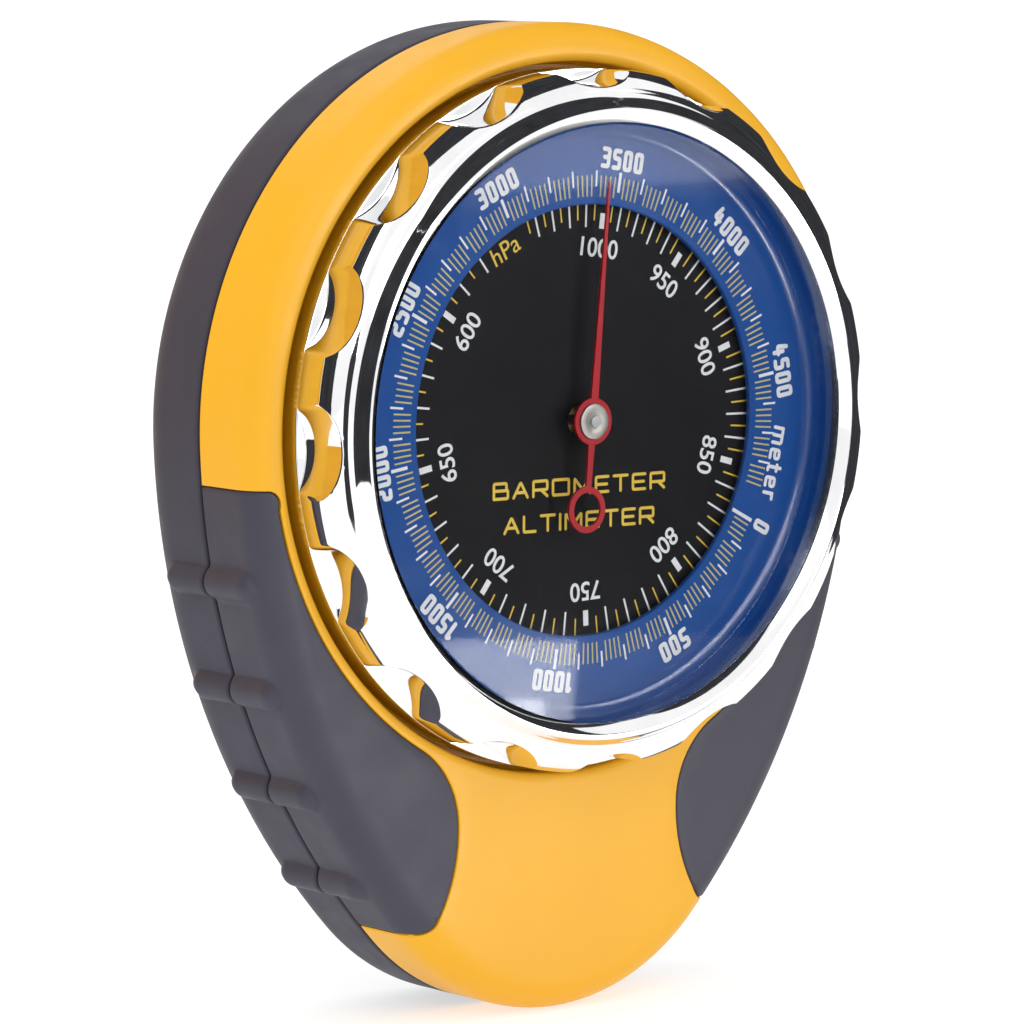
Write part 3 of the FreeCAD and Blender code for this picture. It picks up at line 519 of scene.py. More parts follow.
def add_grain(tree, shader, scale, strength, distance, stretch=(1.0, 1.0, 1.0), detail=2.0):
    """Fine surface relief; distance is the relief's depth in metres."""
    bump = tree.nodes.new("ShaderNodeBump")
    bump.inputs["Strength"].default_value = strength
    bump.inputs["Distance"].default_value = distance
    tree.links.new(object_noise(tree, scale, detail, stretch), bump.inputs["Height"])
    tree.links.new(bump.outputs["Normal"], shader.inputs["Normal"])


def moulded(name, colour, roughness, grain, depth, tint=0.04, coat=0.0, shine=0.5):
    """Moulded plastic or rubber with a fine eroded grain."""
    material, tree, shader = new_material(name, colour, roughness)
    shader.inputs["Specular IOR Level"].default_value = shine
    vary_colour(tree, shader, colour, 90.0, tint)
    vary_roughness(tree, shader, roughness - 0.05, roughness + 0.06, 400.0)
    add_grain(tree, shader, grain, 0.35, depth)
    shader.inputs["Coat Weight"].default_value = coat
    shader.inputs["Coat Roughness"].default_value = 0.3
    return material


def metal(name, colour, low, high, scale=600.0, stretch=(1.0, 1.0, 1.0), grain=2500.0, depth=2e-6):
    material, tree, shader = new_material(name, colour, low, 1.0)
    vary_colour(tree, shader, colour, scale * 0.3, 0.05, stretch=stretch)
    vary_roughness(tree, shader, low, high, scale, stretch)
    add_grain(tree, shader, grain, 0.3, depth, stretch)
    return material


def ink(name, colour):
    """Screen-printed ink, a little uneven."""
    material, tree, shader = new_material(name, colour, 0.5)
    vary_colour(tree, shader, colour, 1500.0, 0.05)
    add_grain(tree, shader, 6000.0, 0.2, 4e-6)
    return material


def crystal_material():
    """Clear acrylic: what is behind shows through, and the surface mirrors by Fresnel."""
    material, tree, shader = new_material("clear_acrylic", (0.02, 0.02, 0.02), 0.03)
    tree.nodes.remove(shader)
    clear = tree.nodes.new("ShaderNodeBsdfTransparent")
    share = tree.nodes.new("ShaderNodeFresnel")
    share.inputs["IOR"].default_value = 1.3
    mix = tree.nodes.new("ShaderNodeMixShader")
    glossy = tree.nodes.new("ShaderNodeBsdfGlossy")
    glossy.inputs["Roughness"].default_value = 0.05
    tree.links.new(share.outputs["Fac"], mix.inputs["Fac"])
    tree.links.new(clear.outputs["BSDF"], mix.inputs[1])
    tree.links.new(glossy.outputs["BSDF"], mix.inputs[2])
    tree.links.new(mix.outputs["Shader"], tree.nodes["Material Output"].inputs["Surface"])
    return material


YELLOW = (0.83, 0.41, 0.006)
SLATE = (0.050, 0.047, 0.068)

yellow = moulded("yellow_plastic", YELLOW, 0.42, 9000.0, 6e-6, tint=0.02, shine=0.4)
rubber = moulded("grip_rubber", SLATE, 0.55, 7000.0, 1.2e-5, shine=0.35)
slate = moulded("slate_plastic", (0.052, 0.050, 0.070), 0.50, 8000.0, 1e-5, shine=0.18)
chrome = metal("chrome", (0.93, 0.93, 0.94), 0.02, 0.07, 900.0, depth=1e-6)
blue = moulded("blue_lacquer", (0.010, 0.095, 0.40), 0.16, 9000.0, 5e-7, tint=0.03, coat=0.2)
black = moulded("dial_black", (0.010, 0.010, 0.012), 0.45, 12000.0, 4e-6, tint=0.2, shine=0.08)
red = moulded("red_lacquer", (0.56, 0.010, 0.022), 0.35, 9000.0, 2e-6, shine=0.3)
white_ink = ink("white_ink", (0.93, 0.95, 0.96))
yellow_ink = ink("yellow_ink", (0.92, 0.62, 0.02))
pale_ink = ink("pale_yellow_ink", (0.62, 0.56, 0.20))
brass = metal("brass", (0.80, 0.58, 0.24), 0.22, 0.38)
steel = metal("steel", (0.56, 0.57, 0.58), 0.25, 0.40)
spring_steel = metal("spring_steel", (0.42, 0.44, 0.50), 0.18, 0.30)
nickel = metal("nickel", (0.29, 0.28, 0.26), 0.45, 0.60)
capsule_metal = metal("capsule_metal", (0.70, 0.62, 0.46), 0.20, 0.34, 300.0)
black_plastic = moulded("black_plastic", (0.012, 0.012, 0.013), 0.5, 6000.0, 1e-5)
seal = moulded("seal_rubber", (0.010, 0.010, 0.011), 0.7, 7000.0, 1e-5)
clear = crystal_material()


# ---------------------------------------------------------------- casing pieces

def rib_bulge(place, along):
    """Height of the grip ribs over a flank, at a distance in front of the back along the wall."""
    number, angle = place
    if number % 2 == 0:
        return 0.0
    z = outline.point(place)[1]
    height = 0.0
    for rib, front in zip(RIB_HEIGHTS, RIB_FRONTS):
        across = (z - rib) / max(0.3, math.cos(outline.flank_angle(rib)))
        beyond = max(0.0, along - front, RIB_BACK - along)
        away = math.hypot(across, beyond)
        if away < RIB_RADIUS:
            rise = math.sqrt(RIB_RADIUS ** 2 - away ** 2) - RIB_SINK
        else:
            rise = -RIB_SINK - 3 * (away - RIB_RADIUS)
        height = max(height, 0.5 * (rise + math.hypot(rise, 0.16)))
    return height


def on_wall(place, f, sunk):
    x, z = outline.point(place)
    nx, nz = outline.normal(place)
    return x - nx * sunk, f, z - nz * sunk


def build_front_shell():
    shape = Shape()
    ends = (GRIP_TOP + GRIP_GAP, GRIP_FOOT - GRIP_GAP)
    close = near_edge(BED_ROUND)
    heights = [ends[0] + step for step in close] + [ends[1] - step for step in close]
    places = outline.samples(0.6, 0.6, heights)
    borders = []
    for side in (1, -1):
        for step in close:
            line = grip_line(GRIP_GAP + step)
            reach = outline.flank_x(line[0][1]), outline.flank_x(line[-1][1])
            line = [(reach[0], line[0][1])] + line + [(reach[1], line[-1][1])]
            borders.append([(side * x, z) for x, z in line])
    right = borders[0]
    left = borders[len(close)]
    face_rings = [[outline.point(p, FACE_ROUND * (1 - math.cos(math.radians(7.5 * k))))
                   for p in places] for k in range(13)]
    circle_samples = 360
    circles = [circle_loop(RECESS_RADIUS + step, circle_samples) for step in near_edge(RECESS_ROUND, 8)]
    inner = []
    for x in range(-30, 31, 2):
        for z in range(-45, 31, 2):
            if outline.inset_of(x, z)[0] > FACE_ROUND + 0.5 and math.hypot(x, z) > 29.5:
                if min(line_distance((x, z), right), line_distance((x, z), left)) > 0.8:
                    inner.append((x, z))
    points, triangles = triangulate(face_rings + circles, borders, inner)
    beds = []
    for side in (1, -1):
        line = grip_line(GRIP_GAP)
        beds.append([(side * x, z) for x, z in line + [(40.0, line[-1][1]), (40.0, line[0][1])]])

    def in_bed(point):
        return any(inside_polygon(point, bed) for bed in beds)

    def shell_place(x, z):
        bed_away = min(line_distance((x, z), right), line_distance((x, z), left))
        rim_drop = edge_drop(math.hypot(x, z) - RECESS_RADIUS, RECESS_ROUND)
        return face_place(x, z, max(rim_drop, edge_drop(bed_away, BED_ROUND)))

    tops, bottoms = [], []
    for triangle in triangles:
        middle = centre_of(triangle, points)
        if math.hypot(*middle) < RECESS_RADIUS - 0.001:
            continue
        (bottoms if in_bed(middle) else tops).append(triangle)
    over = shape.plate(tops, points, shell_place)
    under = shape.plate(bottoms, points, lambda x, z: face_place(x, z, GRIP_DEPTH))
    bottom_edges = {tuple(sorted(e)) for t in bottoms for e in zip(t, t[1:] + t[:1])}
    top_edges = {tuple(sorted(e)) for t in tops for e in zip(t, t[1:] + t[:1])}
    for a, b in top_edges & bottom_edges:
        shape.faces.append((over[a], over[b], under[b], under[a]))

    # outer wall, sunk where a grip covers it
    wall_top = FACE - FACE_ROUND
    levels = [SEAM_FRONT + step for step in near_edge(SEAM_ROUND, 4)]
    levels = sorted(levels + spread(SEAM_FRONT + 0.5, wall_top, 0.6))

    def wall_column(place, bed):
        z = outline.point(place)[1]
        column = []
        for f in levels:
            if bed:
                sunk = GRIP_DEPTH
            else:
                away = min(abs(z - ends[0]), abs(z - ends[1]))
                on_flank = place[0] % 2 == 1
                sunk = edge_drop(away, BED_ROUND) if on_flank else 0.0
                sunk = max(sunk, edge_drop(f - SEAM_FRONT, SEAM_ROUND))
            column.append(shape.add(*on_wall(place, f, sunk)))
        x, z = outline.point(place, FRONT_WALL)
        column.insert(0, shape.add(x, SEAM_FRONT, z))
        column.insert(0, shape.add(x, CAVITY, z))
        return column

    for k, place in enumerate(places):
        after = places[(k + 1) % len(places)]
        middle = 0.5 * (outline.point(place)[1] + outline.point(after)[1])
        bed = ends[1] < middle < ends[0] and (place[0] % 2 == 1)
        shape.grid([wall_column(place, bed), wall_column(after, bed)])
    for height in ends:
        angle = outline.flank_angle(height)
        for place in ((1, math.pi - angle), (3, 2 * math.pi + angle)):
            shape.grid([wall_column(place, False)[2:], wall_column(place, True)[2:]])

    # recess, collar and the roof of the cavity
    shape.rings([
        (RECESS_RADIUS, FACE - RECESS_ROUND), (RECESS_RADIUS, RECESS_FLOOR + 0.3),
        (RECESS_RADIUS - 0.3, RECESS_FLOOR), (COLLAR_OUTER, RECESS_FLOOR),
        (COLLAR_OUTER, COLLAR_TOP), (COLLAR_INNER, COLLAR_TOP), (COLLAR_INNER, CAVITY),
    ], circle_samples)
    roof = [outline.point(p, FRONT_WALL) for p in places]
    points, triangles = triangulate([roof, circle_loop(COLLAR_INNER, circle_samples)])
    triangles = [t for t in triangles if math.hypot(*centre_of(t, points)) > COLLAR_INNER - 0.01]
    shape.plate(triangles, points, lambda x, z: (x, CAVITY, z))
    return make_piece("yellow_front", shape.verts, shape.faces, "case", yellow,
                      ["front_shell"])


def build_grip(name, side, node):
    shape = Shape()
    border = grip_line()
    heights = [z for _, z in border]
    close = near_edge(GRIP_ROUND)
    levels = [GRIP_TOP - step for step in close] + [GRIP_FOOT + step for step in close]
    levels += spread(GRIP_TOP - 0.45, GRIP_FOOT + 0.45, 0.24)
    levels = sorted(set(levels), reverse=True)
    wall = [SEAM_FRONT + step for step in near_edge(SEAM_ROUND, 4)]
    wall += spread(SEAM_FRONT + 0.4, FACE - FACE_ROUND, 0.22)

    def border_x(z):
        for (xa, za), (xb, zb) in zip(border, border[1:]):
            if zb - 1e-9 <= z <= za + 1e-9:
                return xa + (xb - xa) * (za - z) / max(1e-9, za - zb)
        return border[-1][0] if z < heights[-1] else border[0][0]

    def section(z, depth):
        """One row of points from the seam over the rounding to the inner border."""
        angle = outline.flank_angle(z)
        place = (3, 2 * math.pi + angle)
        ends_away = min(abs(z - GRIP_TOP), abs(z - GRIP_FOOT))
        row = []

        def put(x, height, f, normal, away):
            sunk = edge_drop(min(away, ends_away), GRIP_ROUND) if depth == 0 else depth
            nx, nf, nz = normal
            row.append((side * (x - nx * sunk), f - nf * sunk, height - nz * sunk))

        nx, nz = math.cos(angle), math.sin(angle)
        fade = min(1.0, ends_away / 1.0)
        for f in wall:
            rise = 0.0
            if depth == 0:
                rise = rib_bulge(place, f) * fade - edge_drop(f - SEAM_FRONT, SEAM_ROUND)
            put(outline.flank_x(z) + nx * rise, z + nz * rise, f, (nx, 0.0, nz), FAR)
        inner_x = border_x(z)
        last_inset = outline.inset_of(inner_x, z)[0]
        turned = math.pi / 2 if last_inset >= FACE_ROUND else math.acos(1 - last_inset / FACE_ROUND)
        for k in range(1, ROUND_STEPS + 1):
            bend = turned * k / ROUND_STEPS
            inset = FACE_ROUND * (1 - math.cos(bend))
            x = outline.flank_x(z, inset)
            f = FACE - FACE_ROUND + FACE_ROUND * math.sin(bend)
            rise = rib_bulge(place, FACE - FACE_ROUND + FACE_ROUND * bend) * fade if depth == 0 else 0.0
            normal = (nx * math.cos(bend), math.sin(bend), nz * math.cos(bend))
            near = k == ROUND_STEPS or x - inner_x < 1.0
            away = line_distance((x, z), border) if near else FAR
            put(x + normal[0] * rise, z + normal[2] * rise, f + normal[1] * rise, normal, away)
        start_x = outline.flank_x(z, FACE_ROUND) if last_inset >= FACE_ROUND else inner_x
        run = start_x - inner_x
        stops = spread(0.0, 1.0, 1.0 / 26)[1:-6]
        stops = [start_x - run * share for share in stops]
        ends = near_edge(min(GRIP_ROUND, run * 0.2), 5)[::-1]
        stops += [inner_x + step for step in ends]
        turned_normal = (nx * math.cos(turned), math.sin(turned), nz * math.cos(turned))
        for x in stops:
            if run > 1e-6:
                put(x, z, FACE, (0.0, 1.0, 0.0), line_distance((x, z), border))
            else:
                put(inner_x, z, FACE - FACE_ROUND + FACE_ROUND * math.sin(turned), turned_normal, 0.0)
        return row

    top_rows, low_rows = [], []
    for z in levels:
        top_rows.append([shape.add(*p) for p in section(z, 0)])
        low_rows.append([shape.add(*p) for p in section(z, GRIP_DEPTH - 0.08)])
    shape.grid(top_rows)
    shape.grid(low_rows)
    shape.grid([top_rows[0], low_rows[0]])
    shape.grid([top_rows[-1], low_rows[-1]])
    shape.grid([[row[0] for row in top_rows], [row[0] for row in low_rows]])
    shape.grid([[row[-1] for row in top_rows], [row[-1] for row in low_rows]])
    return make_piece(name, shape.verts, shape.faces, "case", rubber, [node])


def build_back_cover():
    shape = Shape()
    places = outline.samples(0.6, 0.24)
    wall = sorted([SEAM_BACK - step for step in near_edge(SEAM_ROUND, 4)]
                  + spread(BACK_ROUND, SEAM_BACK - 0.4, 0.24), reverse=True)
    rows = [[], []]
    for place in places:
        x, z = outline.point(place, BACK_WALL)
        rows[0].append(shape.add(x, SEAM_BACK - 1.0, z))
        rows[1].append(shape.add(x, SEAM_BACK, z))
    for f in wall:
        row = []
        for place in places:
            sunk = edge_drop(SEAM_BACK - f, SEAM_ROUND) - rib_bulge(place, f)
            row.append(shape.add(*on_wall(place, f, sunk)))
        rows.append(row)
    for k in range(1, ROUND_STEPS + 1):
        bend = math.radians(90.0 * k / ROUND_STEPS)
        inset = BACK_ROUND * (1 - math.cos(bend))
        f = BACK_ROUND * (1 - math.sin(bend))
        row = []
        for place in places:
            nx, nz = outline.normal(place)
            x, z = outline.point(place, inset)
            rise = rib_bulge(place, BACK_ROUND - BACK_ROUND * bend)
            reach = math.cos(bend) * rise
            row.append(shape.add(x + nx * reach, f - math.sin(bend) * rise, z + nz * reach))
        rows.append(row)
    shape.grid(rows, wrap=True)

    # flat back with its openings, and the floor inside
    rim = [outline.point(place, BACK_ROUND) for place in places]
    edge = 0.25
    samples = 48
    openings = [(x, z, SCREW_BORE) for x, z in CASE_SCREWS]
    openings += [(*VENT, VENT_BORE), (*TRIMMER, TRIMMER_BORE)]
    loops = [circle_loop(radius + edge, samples, x, z) for x, z, radius in openings]
    points, triangles = triangulate([rim] + loops)

    def solid(triangle):
        middle = centre_of(triangle, points)
        return all(math.hypot(middle[0] - x, middle[1] - z) > r + edge - 0.03
                   for x, z, r in openings)

    triangles = [triangle for triangle in triangles if solid(triangle)]
    shape.plate(triangles, points, lambda x, z: (x, 0.0, z))
    shape.plate(triangles, points, lambda x, z: (x, BACK_FLOOR, z))
    for x, z, radius in openings:
        lead = [(radius + edge * (1 - math.sin(math.radians(18.0 * k))),
                 edge * (1 - math.cos(math.radians(18.0 * k)))) for k in range(6)]
        if radius == SCREW_BORE:
            lead += [(radius, SCREW_SEAT), (1.0, SCREW_SEAT), (1.0, BACK_FLOOR)]
        else:
            lead += [(radius, BACK_FLOOR)]
        shape.rings(lead + [(radius + edge, BACK_FLOOR)], samples, x, z)
    inner = [outline.point(place, BACK_WALL) for place in places]
    floor_rows = [[shape.add(x, SEAM_BACK - 1.0, z) for x, z in inner],
                  [shape.add(x, BACK_FLOOR + 2.2, z) for x, z in inner],
                  [shape.add(x, BACK_FLOOR, z) for x, z in rim]]
    shape.grid(floor_rows, wrap=True)
    return make_piece("back_cover", shape.verts, shape.faces, "case", slate,
                      ["back_shell"])


# ---------------------------------------------------------------- bezel group

def smooth_path(nodes, count):
    """Catmull-Rom curve through the nodes."""
    path = []
    for k in range(len(nodes) - 1):
        p0 = Vector(nodes[max(k - 1, 0)])
        p1, p2 = Vector(nodes[k]), Vector(nodes[k + 1])
        p3 = Vector(nodes[min(k + 2, len(nodes) - 1)])
        for step in range(count):
            t = step / count
            point = 0.5 * ((2 * p1) + (p2 - p0) * t + (2 * p0 - 5 * p1 + 4 * p2 - p3) * t * t
                           + (3 * p1 - p0 - 3 * p2 + p3) * t ** 3)
            path.append(tuple(point))
    path.append(tuple(nodes[-1]))
    return path


def resample(path, count):
    lengths = [0.0]
    for a, b in zip(path, path[1:]):
        lengths.append(lengths[-1] + math.dist(a, b))
    result = []
    k = 0
    for step in range(count + 1):
        target = lengths[-1] * step / count
        while k < len(path) - 2 and lengths[k + 1] < target:
            k += 1
        span = max(1e-12, lengths[k + 1] - lengths[k])
        share = min(1.0, max(0.0, (target - lengths[k]) / span))
        result.append(tuple(a + (b - a) * share for a, b in zip(path[k], path[k + 1])))
    return result


def corner_curve(before, corner, after, reach, count=6):
    """A small curve in place of a corner, reaching the same distance along both sides."""
    corner = Vector(corner)
    back, ahead = Vector(before) - corner, Vector(after) - corner
    start = corner + back.normalized() * min(reach, back.length * 0.49)
    end = corner + ahead.normalized() * min(reach, ahead.length * 0.49)
    return [tuple(start * (1 - t) ** 2 + corner * 2 * t * (1 - t) + end * t * t)
            for t in [k / count for k in range(count + 1)]]


def flute_wall(away, f):
    """Radius of the bezel's outside at an angle from a flute's middle, softened at the edges."""
    radius = FLUTE_RADIUS + (f - FLUTE_FLOOR) * math.tan(math.radians(FLUTE_DRAFT))
    across = FLUTE_CENTRE * math.sin(away)
    near = BEZEL_RADIUS + 5.0
    if abs(across) < radius:
        near = FLUTE_CENTRE * math.cos(away) - math.sqrt(radius ** 2 - across ** 2)
    blend = 0.2
    overlap = max(blend - abs(near - BEZEL_RADIUS), 0.0) / blend
    return min(near, BEZEL_RADIUS) - overlap * overlap * blend / 4


def bezel_section(away, slope, inner):
    """(radius, F) points of the bezel at an angle from a flute's middle, the same count each."""
    top = [slope[-1]]
    for before, after in zip(slope[::-1], slope[-2::-1]):
        if after[0] >= flute_wall(away, after[1]):
            gap_before = flute_wall(away, before[1]) - before[0]
            gap_after = after[0] - flute_wall(away, after[1])
            share = gap_before / max(1e-9, gap_before + gap_after)
            top.append(tuple(a + (b - a) * share for a, b in zip(before, after)))
            break
        top.append(after)
    top.reverse()
    edge = top[0]
    floor_wall = min(flute_wall(away, FLUTE_FLOOR), BEZEL_RADIUS - 0.012)
    depth = BEZEL_RADIUS - floor_wall
    reach = min(0.22, depth * 0.5)
    trimmed = [p for p in top[1:] if math.dist(p, edge) > reach + 0.02]
    heights = [FLUTE_FLOOR + (edge[1] - FLUTE_FLOOR) * k / 14 for k in range(15)]
    wall = [(min(flute_wall(away, f), BEZEL_RADIUS - 0.012), f) for f in heights]
    section = [(BEZEL_BORE, BEZEL_FOOT), (BEZEL_RADIUS - 0.3, BEZEL_FOOT),
               (BEZEL_RADIUS - 0.09, BEZEL_FOOT + 0.09), (BEZEL_RADIUS, BEZEL_FOOT + 0.3)]
    rim = (BEZEL_RADIUS, FLUTE_FLOOR)
    lip = corner_curve(section[-1], rim, wall[0], min(0.14, depth * 0.4))
    hollow = corner_curve(rim, wall[0], wall[1], min(0.12, depth * 0.45))
    shoulder = corner_curve(wall[-2], edge, trimmed[0], reach, 8)
    section += resample([section[-1], lip[0]], 4)[1:-1]
    section += lip
    section += resample([lip[-1], hollow[0]], 5)[1:-1]
    section += hollow
    section += wall[1:-1]
    section += shoulder
    section += resample([shoulder[-1]] + trimmed, 18)[1:]
    return section + inner


def build_bezel():
    """Chromed ring: each section runs from the foot up the outside and over to the window."""
    rise = smooth_path([(27.4, 18.9), (27.3, 19.3), (27.0, 19.75), (26.5, 20.15), (26.0, 20.4),
                        (25.5, 20.55), (25.1, 20.85), (24.8, 21.25), (24.5, 21.65), (24.25, 21.8),
                        (24.08, 21.74)], 8)
    split = 25.5
    slope = [p for p in rise if p[0] >= split]
    inner = [p for p in rise if p[0] < split] + [
        (BEZEL_WINDOW + 0.05, 21.03), (BEZEL_WINDOW, 20.97),
        (BEZEL_WINDOW, BEZEL_LIP), (BEZEL_BORE, BEZEL_LIP),
        (BEZEL_BORE, WIRE_AT + 0.45), (BEZEL_BORE + 0.4, WIRE_AT + 0.45),
        (BEZEL_BORE + 0.4, WIRE_AT - 0.45), (BEZEL_BORE, WIRE_AT - 0.45)]
    per_flute = 72
    step_angle = 360.0 / FLUTES
    sections = [bezel_section(math.radians(step_angle * (k / per_flute - 0.5)), slope, inner)
                for k in range(per_flute)]
    shape = Shape()
    rows = []
    for number in range(FLUTES * per_flute):
        theta = FLUTE_PHASE + step_angle * (number / per_flute - 0.5)
        row = []
        for radius, f in sections[number % per_flute]:
            x, z = polar(radius, theta)
            row.append(shape.add(x, f, z))
        row.append(row[0])
        rows.append(row)
    rows.append(rows[0])
    shape.grid(rows)
    return make_piece("chrome_bezel", shape.verts, shape.faces, "bezel", chrome,
                      ["bezel_ring"], sharp=40.0)


def build_crystal():
    window = BEZEL_WINDOW - 0.15
    dome_radius = (window ** 2 + CRYSTAL_DOME ** 2) / (2 * CRYSTAL_DOME)
    rim = CRYSTAL_RADIUS - 0.05
    profile = [(0.0, CRYSTAL_BACK), (rim, CRYSTAL_BACK), (rim, BEZEL_LIP - 0.02),
               (window, BEZEL_LIP - 0.02), (window, BEZEL_LIP)]
    for k in range(1, 25):
        radius = window * (1 - k / 24)
        rise = math.sqrt(dome_radius ** 2 - radius ** 2) - (dome_radius - CRYSTAL_DOME)
        profile.append((radius, BEZEL_LIP + rise))
    shape = Shape()
    shape.rings(profile, 192)
    return make_piece("window", shape.verts, shape.faces, "bezel", clear, ["crystal"])


def build_altitude_ring():
    start = RING_OUTER - 1.05 - RING_COVE
    profile = [(RING_INNER, RING_BACK), (RING_INNER, RING_FACE - 0.08), (RING_INNER + 0.08, RING_FACE)]
    for k in range(0, 13):
        angle = math.radians(7.5 * k)
        profile.append((start + RING_COVE * math.sin(angle),
                        RING_FACE + RING_COVE * (1 - math.cos(angle))))
    profile += [(start + RING_COVE, CRYSTAL_BACK - 0.02), (RING_OUTER - 0.02, CRYSTAL_BACK - 0.02),
                (RING_OUTER - 0.02, RING_BACK)]
    shape = Shape()
    shape.rings(profile, 288, closed=True)
    return make_piece("blue_scale", shape.verts, shape.faces, "bezel", blue,
                      ["altitude_ring"])


def build_dial():
    shape = Shape()
    edge = 0.1
    shape.rings([(DIAL_HOLE, DIAL_BACK), (DIAL_HOLE, DIAL_FACE - edge),
                 (DIAL_HOLE + edge, DIAL_FACE), (DIAL_RADIUS - edge, DIAL_FACE),
                 (DIAL_RADIUS, DIAL_FACE - edge), (DIAL_RADIUS, DIAL_BACK)], 240, closed=True)
    return make_piece("dial_face", shape.verts, shape.faces, "case", black,
                      ["dial_plate"])


# ---------------------------------------------------------------- printed marks

INK = 0.03


def extrude_plan(shape, polygons, base, thick):
    """A flat solid of the union of polygons, base being its F."""
    verts, faces, extents = [], [], []
    for polygon in polygons:
        faces.append(list(range(len(verts), len(verts) + len(polygon))))
        verts += [Vector(p) for p in polygon]
        xs, zs = [p[0] for p in polygon], [p[1] for p in polygon]
        extents.append((min(xs), max(xs), min(zs), max(zs), polygon))

    def covered(x, z):
        return any(inside_polygon((x, z), polygon) for left, right, foot, top, polygon in extents
                   if left <= x <= right and foot <= z <= top)

    out, _, triangles, _, _, _ = delaunay_2d_cdt(verts, [], faces, 1, 1e-5)
    low = [shape.add(p.x, base, p.y) for p in out]
    high = [shape.add(p.x, base + thick, p.y) for p in out]
    count = {}
    for a, b, c in triangles:
        if not covered(*centre_of((a, b, c), out)):
            continue
        shape.faces.append((low[a], low[b], low[c]))
        shape.faces.append((high[a], high[b], high[c]))
        for edge in ((a, b), (b, c), (c, a)):
            key = tuple(sorted(edge))
            count[key] = count.get(key, 0) + 1
    for (a, b), times in count.items():
        if times == 1:
            shape.faces.append((low[a], low[b], high[b], high[a]))


def bar(start, end, width):
    a, b = Vector(start), Vector(end)
    side = (b - a).normalized().orthogonal() * width / 2
    return [tuple(a + side), tuple(a - side), tuple(b - side), tuple(b + side)]


def radial_mark(degrees, inner, outer, width):
    return bar(clock(inner, degrees), clock(outer, degrees), width)


def stroke(points, width, closed=False):
    """Convex pieces that cover a line drawn with a round pen."""
    pieces = []
    ends = list(zip(points, points[1:] + (points[:1] if closed else [])))
    for start, end in ends:
        if math.dist(start, end) > 1e-6:
            pieces.append(bar(start, end, width))
    for x, z in points:
        pieces.append(circle_loop(width / 2, 12, x, z))
    return pieces


# letters and figures as pen lines in a box one unit high; each entry is (width, lines)
WIDE = {
    "A": (1.0, [[(0, 0), (0.5, 1), (1, 0)], [(0.2, 0.33), (0.8, 0.33)]]),
    "B": (1.0, [[(0, 0), (0, 1), (0.9, 1), (0.9, 0.53), (0, 0.53)],
                [(0.9, 0.53), (1, 0.53), (1, 0), (0, 0)]]),
    "E": (0.9, [[(0.9, 1), (0, 1), (0, 0), (0.9, 0)], [(0, 0.5), (0.8, 0.5)]]),
    "I": (0.0, [[(0, 0), (0, 1)]]),
    "L": (0.85, [[(0, 1), (0, 0), (0.85, 0)]]),
    "M": (1.15, [[(0, 0), (0, 1), (0.575, 0.25), (1.15, 1), (1.15, 0)]]),
    "O": (1.15, [[(0, 0), (0, 1), (1.15, 1), (1.15, 0), (0, 0)]]),
    "R": (1.0, [[(0, 0), (0, 1), (1, 1), (1, 0.42), (0, 0.42)], [(0.55, 0.42), (1, 0)]]),
    "T": (1.0, [[(0, 1), (1, 1)], [(0.5, 1), (0.5, 0)]]),
}
BLOCK = {
    "0": (0.42, [[(0, 0), (0, 1), (0.42, 1), (0.42, 0), (0, 0)]]),
    "1": (0.22, [[(0, 0.86), (0.18, 1), (0.2, 0)]]),
    "2": (0.42, [[(0, 0.92), (0, 1), (0.42, 1), (0.42, 0.5), (0, 0.45), (0, 0), (0.42, 0)]]),
    "3": (0.42, [[(0, 1), (0.42, 1), (0.42, 0), (0, 0)], [(0.1, 0.52), (0.42, 0.52)]]),
    "4": (0.46, [[(0.1, 1), (0, 0.32), (0.46, 0.32)], [(0.34, 0.7), (0.34, 0)]]),
    "5": (0.42, [[(0.42, 1), (0, 1), (0, 0.55), (0.42, 0.55), (0.42, 0), (0, 0)]]),
}
SMALL = {
    "m": (0.9, [[(0, 0), (0, 0.7)], [(0, 0.6), (0.1, 0.7), (0.45, 0.7), (0.45, 0)],
                [(0.45, 0.7), (0.9, 0.7), (0.9, 0)]]),
    "e": (0.5, [[(0, 0.36), (0.5, 0.36), (0.5, 0.7), (0, 0.7), (0, 0), (0.5, 0)]]),
    "t": (0.32, [[(0.1, 1), (0.1, 0), (0.32, 0)], [(-0.05, 0.7), (0.3, 0.7)]]),
    "r": (0.32, [[(0, 0), (0, 0.7)], [(0, 0.55), (0.1, 0.7), (0.32, 0.7)]]),
}


def write(font, text, height, pen, gap, corner, width=None):
    """Pen strokes for a word about its own middle; width stretches it sideways."""
    cursor = 0.0
    letters = []
    for letter in text:
        advance, lines = font[letter]
        letters.append((cursor, lines))
        cursor += advance + gap
    length = cursor - gap
    sideways = height if width is None else (width - pen) / length
    pieces = []
    for offset, lines in letters:
        for line in lines:
            closed = line[0] == line[-1]
            points = [((offset + x - length / 2) * sideways, (z - 0.5) * height)
                      for x, z in (line[:-1] if closed else line)]
            points = round_corners(points, corner * height, closed)
            pieces += stroke(points, pen, closed)
    return pieces


def placed(pieces, radius, degrees):
    """Moves pieces so that their up points outwards at an angle clockwise from the top."""
    centre = clock(radius, degrees)
    turn = Matrix.Rotation(-math.radians(degrees), 2)
    return [[tuple(turn @ Vector(p) + Vector(centre)) for p in piece] for piece in pieces]


def shifted(pieces, x, z):
    return [[(px + x, pz + z) for px, pz in piece] for piece in pieces]


